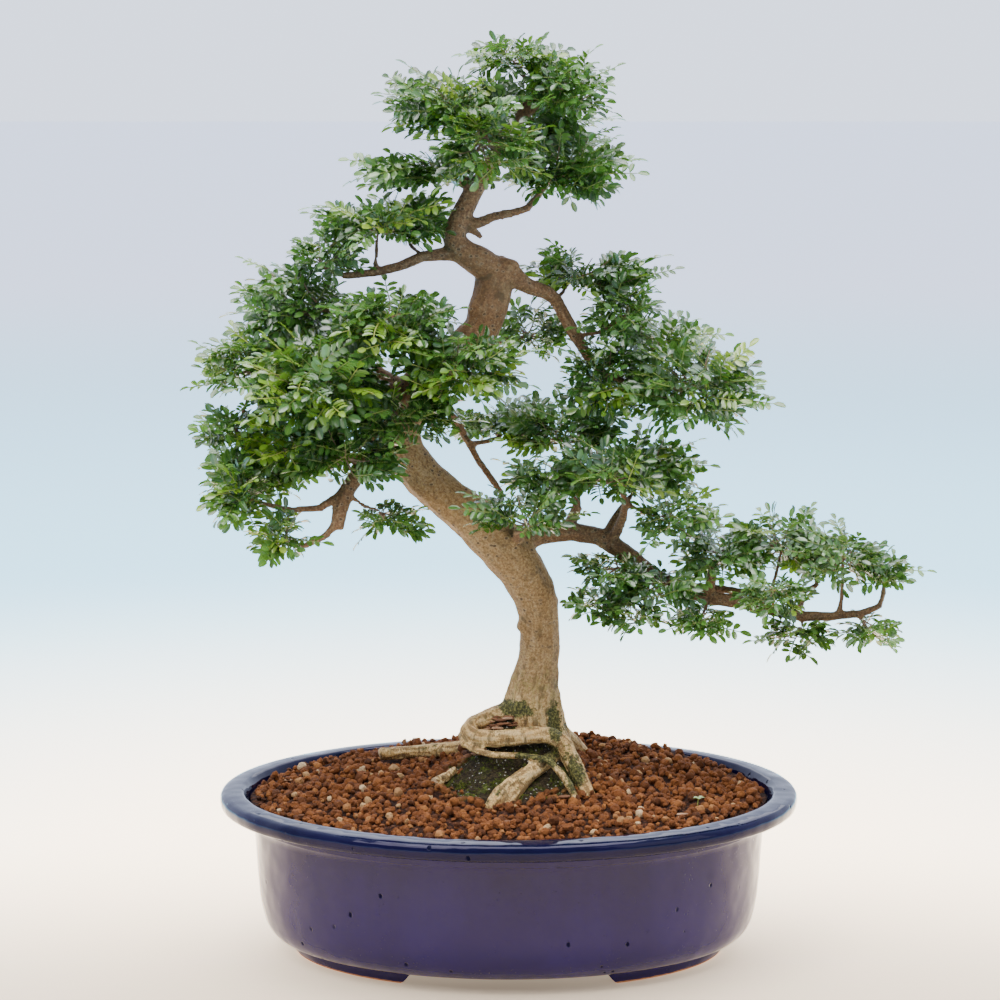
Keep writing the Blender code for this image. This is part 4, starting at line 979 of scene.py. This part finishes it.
def tube_mesh(points, radii, sides):
    """Points and quads of an open tube along the points."""
    points = np.array(points)
    ahead = np.gradient(points, axis=0)
    ahead /= np.linalg.norm(ahead, axis=1)[:, None] + 1e-12
    aside = np.cross(ahead, (0.3, 0.2, 0.93))
    aside /= np.linalg.norm(aside, axis=1)[:, None] + 1e-12
    over = np.cross(ahead, aside)
    angles = 2 * math.pi * np.arange(sides) / sides
    across, up = np.cos(angles)[None, :, None], np.sin(angles)[None, :, None]
    ring = aside[:, None] * across + over[:, None] * up
    verts = points[:, None] + ring * np.array(radii)[:, None, None]
    return verts.reshape(-1, 3), np.array(ring_faces(len(points), sides, False))


class Spray:
    """Leaflets, stalks and twigs of one spray, collected and then made one mesh of quads."""

    def __init__(self):
        self.leaflets = []
        self.tubes = []

    def leaflet(self, base, axis, normal, length, width, seed, age):
        self.leaflets.append((*base, *axis, *normal, length, width, seed, age))

    def tube(self, points, radii, sides, kind, age):
        self.tubes.append((points, radii, sides, kind, age))

    def leaflet_arrays(self):
        data = np.array(self.leaflets)
        base, axis, normal = data[:, None, 0:3], data[:, None, 3:6], data[:, None, 6:9]
        length, width = data[:, None, 9, None], data[:, None, 10, None]
        side = np.cross(normal, axis)
        rows = np.array(LEAFLET_ROWS)
        along = np.repeat(rows[:, 0], 3)
        share = np.repeat(rows[:, 1], 3)
        across = np.tile([-1.0, 0.0, 1.0], len(rows))
        u = along[None, :, None]
        v = (across * share)[None, :, None]
        lift = 0.2 * np.abs(v) * width - 0.14 * u * u * length
        tip = np.where((across == 0) & (along == 1.0), -0.05, 0.0)[None, :, None]
        verts = base + axis * (u + tip) * length + side * v * width / 2 + normal * lift
        each = len(along)
        quads = []
        for row in range(len(rows) - 1):
            for column in range(2):
                a = row * 3 + column
                quads.append((a, a + 3, a + 4, a + 1))
        faces = np.array(quads)[None] + (np.arange(len(data)) * each)[:, None, None]
        values = np.stack([
            np.tile(across, len(data)),
            np.tile(along, len(data)),
            np.repeat(data[:, 11], each),
            np.repeat(data[:, 12], each),
        ], 1)
        return verts.reshape(-1, 3), faces.reshape(-1, 4), values

    def piece(self, name, node, materials, slot):
        verts, faces, values = self.leaflet_arrays()
        parts = [(verts, faces, values, 0)]
        for points, radii, sides, kind, age in self.tubes:
            verts, faces = tube_mesh(points, radii, sides)
            values = np.zeros((len(verts), 4))
            values[:, 3] = age
            parts.append((verts, faces, values, kind))
        offsets = np.cumsum([0] + [len(part[0]) for part in parts[:-1]])
        all_faces = np.concatenate([part[1] + offset for part, offset in zip(parts, offsets)])
        kinds = np.concatenate([np.full(len(part[1]), part[3]) for part in parts])
        values = np.concatenate([part[2] for part in parts])
        named = {"across": values[:, 0], "along": values[:, 1], "seed": values[:, 2], "age": values[:, 3]}
        all_verts = np.concatenate([part[0] for part in parts])
        return mesh_piece(name, all_verts, all_faces, materials, [node], named, kinds)


def upright_to(axis, wanted):
    """wanted, turned as little as needed to stand square to axis."""
    square = wanted - axis * wanted.dot(axis)
    return square.normalized() if square.length > 1e-4 else axis.orthogonal().normalized()


def grow_leaf(spray, rng, base, axis, normal, length, age, usual_tint):
    """A pinnate leaf: a bare stalk, then pairs of leaflets and one at the tip, arching down a little."""
    side = normal.cross(axis)
    sag = rng.uniform(-0.04, 0.16)
    bend = rng.uniform(-0.14, 0.14)
    fold = rng.uniform(-0.05, 0.28)

    def on_stalk(share):
        return base + axis * length * share + (side * bend - normal * sag) * length * share * share

    size = rng.uniform(*LEAFLET_LENGTH) * min(1.0, 0.66 + length / (100 * MM))
    start = rng.uniform(*LEAF_PETIOLE) / length
    end = 1 - 0.75 * size / length
    pairs = min(max(round((end - start) * length / LEAF_PITCH), LEAF_PAIRS[0]), LEAF_PAIRS[1])
    shape = rng.uniform(*LEAFLET_SHAPE)
    angle = math.radians(rng.uniform(*LEAFLET_ANGLE))
    tint = rng.gauss(usual_tint, 0.26)
    for pair in range(pairs):
        share = start + (end - start) * pair / pairs
        place = on_stalk(share)
        ahead = (on_stalk(share + 0.02) - place).normalized()
        flat = upright_to(ahead, normal)
        for sign in (-1, 1):
            turn = angle + rng.gauss(0, 0.07)
            out = ahead * math.cos(turn) + flat.cross(ahead) * sign * math.sin(turn)
            out = (out + flat * (fold + rng.gauss(0, 0.07))).normalized()
            up = upright_to(out, flat + ahead * rng.gauss(0, 0.1))
            grown = size * rng.uniform(0.88, 1.06) * (0.8 if pair == 0 else 1.0)
            seed = min(1, max(0, tint + rng.gauss(0, 0.06)))
            spray.leaflet(place + out * 0.4 * MM, out, up, grown, grown * shape, seed, age)
    ahead = (on_stalk(end) - on_stalk(end - 0.05)).normalized()
    seed = min(1, max(0, tint + rng.gauss(0, 0.06)))
    up = upright_to(ahead, normal)
    spray.leaflet(on_stalk(end), ahead, up, size * 1.1, size * shape * 1.1, seed, age)
    points = [on_stalk(end * i / 4) for i in range(5)]
    radii = [RACHIS_RADIUS * (1.25 - 0.15 * i) for i in range(5)]
    spray.tube(points, radii, 3, 1, age)


def spray_directions(count, rng):
    start = rng.uniform(0, 2 * math.pi)
    for i in range(count):
        height = 0.97 - 1.72 * (i + 0.5) / count
        ring = math.sqrt(1 - height * height)
        angle = start + i * GOLDEN_ANGLE
        yield Vector((ring * math.cos(angle), ring * math.sin(angle), height))


def grow_spray(index, node, wood_tree, materials):
    """Fill the rounded box of a spray with leafy shoots that start on the wood."""
    rng = random.Random(LEAF_SEED + index)
    kind = node.removeprefix("leaves_")
    low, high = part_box(node)
    left, right, down, up = STRETCH.get(kind, (0, 0, 0, 0))
    low -= Vector((left, 0, down)) * MM
    high += Vector((right, 0, up)) * MM
    centre = (low + high) / 2
    half = (high - low) / 2
    half.z *= PAD_FLATNESS
    a, b, c = ((h + 0.5 * PAD_OVERHANG) ** 1.6 for h in half)
    area = 4 * math.pi * ((a * b + a * c + b * c) / 3) ** (1 / 1.6)
    wanted = max(8, round(LEAVES_PER_AREA * area / (MM * MM)))
    shoots = max(2, round(wanted / SHOOT_LEAVES))
    young = YOUNG.get(kind, YOUNG_ELSEWHERE)
    longest = min(LEAF_LENGTH[1], 1.3 * max(half))
    shortest = min(LEAF_LENGTH[0], 0.8 * longest)
    spray = Spray()

    def beyond(place):
        """How far a place lies outside the rounded box."""
        offset = place - centre
        size = sum(abs(o / h) ** PAD_SQUARENESS for o, h in zip(offset, half)) ** (1 / PAD_SQUARENESS)
        return offset.length * (1 - 1 / size) if size > 1 else 0.0

    for direction in spray_directions(shoots, rng):
        toward = Vector([d * h for d, h in zip(direction, half)])
        tip = centre + toward * rng.uniform(0.55, 0.9)
        start = wood_tree.find_nearest(centre + toward * 0.15)[0]
        span = tip - start
        bow = Vector((0, 0, -0.12 * span.length))
        points = [start + span * s + bow * 4 * s * (1 - s) for s in (0, 0.2, 0.4, 0.6, 0.8, 1)]
        base_radius = SHOOT_RADIUS[0] + (SHOOT_RADIUS[1] - SHOOT_RADIUS[0]) * min(1, span.length / 0.04)
        radii = [base_radius * (1 - 0.12 * i) for i in range(6)]
        spray.tube(points, radii, 5, 2, 0.0)
        turn = rng.uniform(0, 2 * math.pi)
        shoot_age = 1.0 if rng.random() < young else 0.0
        stray = rng.random() < STRAY_SHARE
        for number in range(SHOOT_LEAVES):
            share = 1.0 - 0.72 * (number / SHOOT_LEAVES) ** 0.9
            place = start + span * share + bow * 4 * share * (1 - share)
            outward = (place - centre + toward * 0.4).normalized()
            along = (span.normalized() * 0.6 + outward * 0.6).normalized()
            room = STRAY_OVERHANG if stray and number == 0 else PAD_OVERHANG
            for _ in range(LEAF_TRIES):
                turn += GOLDEN_ANGLE
                aside = along.orthogonal().normalized()
                aside.rotate(Matrix.Rotation(turn, 3, along))
                slope = math.radians(rng.uniform(0, 20) if number == 0 else rng.uniform(40, 80))
                axis = along * math.cos(slope) + aside * math.sin(slope)
                axis.z = 0.55 * axis.z + rng.uniform(-0.05, 0.22)
                axis.normalize()
                length = rng.uniform(shortest, longest)
                end = place + axis * length
                flatter = 1 - 0.75 * abs((end - centre).normalized().z)
                length -= max(0.0, beyond(end) - room * flatter)
                end = place + axis * length
                if length < 0.7 * shortest or beyond(end) > room * flatter * 1.15:
                    continue
                if inside(wood_tree, end) or inside(wood_tree, place + axis * length * 0.5):
                    continue
                facing = UP * 0.75 + outward * 0.55
                facing += Vector((rng.gauss(0, 0.26), rng.gauss(0, 0.2) - 0.24, rng.gauss(0, 0.08)))
                age = shoot_age if number < 4 else 0.3 * shoot_age
                age = min(1, max(0, age + rng.gauss(0, 0.12)))
                normal = upright_to(axis, facing)
                grow_leaf(spray, rng, place, axis, normal, length, age, 0.62 - 0.085 * number)
                break
    slot = "leaf_dark" if young <= YOUNG_ELSEWHERE else "leaf"
    return spray.piece("foliage_" + kind, node, materials, slot)


def make_moss(ground, wood_tree, wood, moss):
    """Short pointed tufts on the mound and round the foot of the trunk."""
    rng = random.Random(MOSS_SEED)
    verts = []
    faces = []
    tints = []
    mesh = wood.data
    spots = []
    mossy = mesh.attributes["moss"].data
    for _ in range(MOSS_TRIES[0]):
        i = rng.randrange(len(mesh.vertices))
        vert = mesh.vertices[i]
        patch = noise.noise(vert.co * 70) * 0.5 + 0.5
        if mossy[i].value * patch > 0.34 and vert.normal.z > -0.1:
            spots.append((vert.co.copy(), vert.normal.copy()))
    for _ in range(MOSS_TRIES[1]):
        x = MOSS_PATCH[0] + rng.gauss(0, 0.8) * MOSS_PATCH[2]
        y = MOSS_PATCH[1] + rng.gauss(0, 0.8) * MOSS_PATCH[3]
        clump = noise.noise(Vector((x * 110, y * 110, 3))) * 0.5 + 0.5
        z = ground.height(x, y)
        if z is None or rng.random() > moss_amount(x, y) * max(0.0, 2.6 * clump - 0.9):
            continue
        place = ground.place(x, y, z - 0.6 * MM)
        if not inside(wood_tree, place):
            spots.append((place, UP.copy()))
    for place, normal in spots:
        tint = rng.random()
        for _ in range(TUFT_BLADES):
            away = Vector((rng.gauss(0, 0.5), rng.gauss(0, 0.5), rng.uniform(0, 0.5)))
            lean = (normal + away).normalized()
            side = lean.orthogonal().normalized()
            side.rotate(Matrix.Rotation(rng.uniform(0, 6.3), 3, lean))
            root = place + Vector((rng.gauss(0, 0.7), rng.gauss(0, 0.7), 0)) * MM
            tall = rng.uniform(0.9, 2.2) * MM
            wide = rng.uniform(0.25, 0.5) * MM
            k = len(verts)
            edge = side * wide
            verts += [root - edge, root + edge, root + lean * tall * 0.6 + edge * 0.7, root + lean * tall]
            faces.append((k, k + 1, k + 2, k + 3))
            tints += [tint * 0.5, tint * 0.5, tint, min(1, tint + 0.15)]
    return mesh_piece("moss", verts, faces, [moss], ["soil"], {"tint": tints})


def make_chips(ground, wood_tree, chip):
    """Flakes of bark that lie in the pocket behind the looping root and here and there on the soil."""
    rng = np.random.default_rng(CHIP_SEED)
    centres = []
    radii = []
    tints = []
    spots = [(rng.normal(-0.008, 0.011), rng.normal(-0.004, 0.006)) for _ in range(CHIP_COUNTS[0])]
    spots += [(rng.uniform(-0.16, 0.16), rng.uniform(-0.11, 0.11)) for _ in range(CHIP_COUNTS[1])]
    for x, y in spots:
        z = ground.height(x, y)
        if z is None:
            continue
        centre = ground.place(x, y, z + rng.uniform(0.5, 2.2) * MM)
        if inside(wood_tree, centre):
            continue
        centres.append(centre)
        radii.append(rng.uniform(1.4, 3.0) * MM)
        tints.append(rng.random())
    verts, faces, each = lumps(rng, centres, radii, 1, 0.16)
    middles = np.repeat(np.array(centres), each, 0)
    verts = middles + (verts - middles) * np.array([1.7, 0.7, 0.4])
    values = {"tint": np.repeat(tints, each)}
    return mesh_piece("bark_chips", verts, faces, [chip], ["soil"], values)


def make_root_stub(ground, bark):
    """A short cut root that lies on the soil to the left of the mound."""
    route = []
    for x, y, above in ROOT_STUB:
        height = ground.height(x * MM, y * MM)
        route.append(ground.place(x * MM, y * MM, height + above * MM))
    points = []
    for start, end in zip(route, route[1:]):
        points += [start.lerp(end, i / 3) for i in range(3)]
    points.append(route[-1])
    radii = [radius * MM for radius in ROOT_STUB_RADII]
    widths = np.interp(np.linspace(0, 1, len(points)), np.linspace(0, 1, len(radii)), radii)
    points = [points[0]] + points + [points[-1]]
    verts, faces = tube_mesh(points, [0.0001, *widths, 0.0001], ROOT_STUB_SIDES)
    noise.seed_set(ROOT_STUB_SEED)
    for i, place in enumerate(verts):
        verts[i] += np.array(noise.noise_vector(Vector(place) * 260)) * 0.7 * MM
    cut = np.arange(len(verts)) >= len(verts) - 2 * ROOT_STUB_SIDES
    values = {"thickness": np.full(len(verts), 0.02), "cut": cut}
    return mesh_piece("root_stub", verts, faces, [bark], ["trunk"], values)


def make_sprout(ground, materials):
    """A seedling with a few bright leaflets near the right edge of the soil."""
    rng = random.Random(SPROUT_SEED)
    foot = ground.place(*SPROUT_PLACE, ground.height(*SPROUT_PLACE))
    spray = Spray()
    top = foot + Vector((0.001, 0, 0.006))
    spray.tube([foot - UP * 0.002, (foot + top) / 2, top], [0.0004, 0.00035, 0.0003], 4, 1, 1.0)
    for i in range(5):
        angle = i * GOLDEN_ANGLE
        axis = Vector((math.cos(angle), math.sin(angle), 0.35)).normalized()
        spray.leaflet(top, axis, upright_to(axis, UP), rng.uniform(3.6, 5.0) * MM, 2.6 * MM, 0.8, 1.0)
    return spray.piece("sprout", "soil", materials, "leaf")


def light(name, aim, place, size, power, colour):
    data = bpy.data.lights.new(name, "AREA")
    data.shape = "RECTANGLE"
    data.size, data.size_y = size
    data.energy = power
    data.color = colour
    lamp = new_object(name, data)
    lamp.location = place
    lamp.rotation_euler = (Vector(aim) - Vector(place)).to_track_quat("-Z", "Y").to_euler()


def make_world():
    """Even light from all round, dimmer from the front than from behind the object."""
    world = bpy.data.worlds.new("studio")
    world.use_nodes = True
    tree = world.node_tree
    direction = tree.nodes.new("ShaderNodeTexCoord").outputs["Generated"]
    parts = tree.nodes.new("ShaderNodeSeparateXYZ")
    tree.links.new(direction, parts.inputs[0])
    strength = tree.nodes.new("ShaderNodeMapRange")
    strength.interpolation_type = "SMOOTHSTEP"
    for name, value in zip(("From Min", "From Max", "To Min", "To Max"), (-0.8, 0.8, *WORLD_STRENGTH)):
        strength.inputs[name].default_value = value
    tree.links.new(parts.outputs["Y"], strength.inputs["Value"])
    background = tree.nodes["Background"]
    background.inputs["Color"].default_value = (*WORLD_COLOUR, 1)
    tree.links.new(strength.outputs["Result"], background.inputs["Strength"])
    return world


def make_stage(middle):
    bm = bmesh.new()
    bmesh.ops.create_grid(bm, x_segments=8, y_segments=8, size=FLOOR_SIZE)
    mesh = bpy.data.meshes.new("floor")
    bm.to_mesh(mesh)
    bm.free()
    mesh.materials.append(floor_material())
    floor = new_object("floor", mesh)
    floor.location = middle
    aim = (middle.x, middle.y, LIGHT_AIM)
    light("key", aim, *KEY_LIGHT)
    light("fill", aim, *FILL_LIGHT)
    light("top", aim, *TOP_LIGHT)
    light("back", aim, *BACK_LIGHT)
    bpy.context.scene.world = make_world()


def make_camera(middle):
    data = bpy.data.cameras.new("camera")
    data.lens = CAMERA_LENS
    data.sensor_width = 36
    camera = new_object("camera", data)
    camera.location = middle + Vector(CAMERA_PLACE)
    camera.rotation_euler = (math.radians(CAMERA_PITCH), 0, 0)
    bpy.context.scene.camera = camera


def main():
    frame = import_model()
    nodes = frame["nodes"]
    low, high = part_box("pot")
    middle = Vector(((low.x + high.x) / 2, (low.y + high.y) / 2, 0))
    ground = Ground(middle, tree_of(nodes["soil"]))
    wood_tree = tree_of(nodes["trunk"])
    make_camera(middle)
    make_stage(middle)
    make_pot(middle, glaze_material())
    bark = bark_material()
    wood = make_wood(middle, nodes["trunk"], bark)
    make_root_stub(ground, bark)
    make_soil_bed(ground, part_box("soil"), soil_material())
    make_granules(ground, wood_tree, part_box("soil"), granule_material())
    make_moss(ground, wood_tree, wood, moss_material())
    make_chips(ground, wood_tree, chip_material())
    foliage = [leaf_material(), stalk_material(), twig_material()]
    for index, node in enumerate(sorted(name for name in nodes if name.startswith("leaves_"))):
        grow_spray(index, node, wood_tree, foliage)
    make_sprout(ground, foliage)
    screen = screen_material()
    for name in ("drain_screen_left", "drain_screen_right"):
        nodes[name].data.materials.clear()
        nodes[name].data.materials.append(screen)


main()
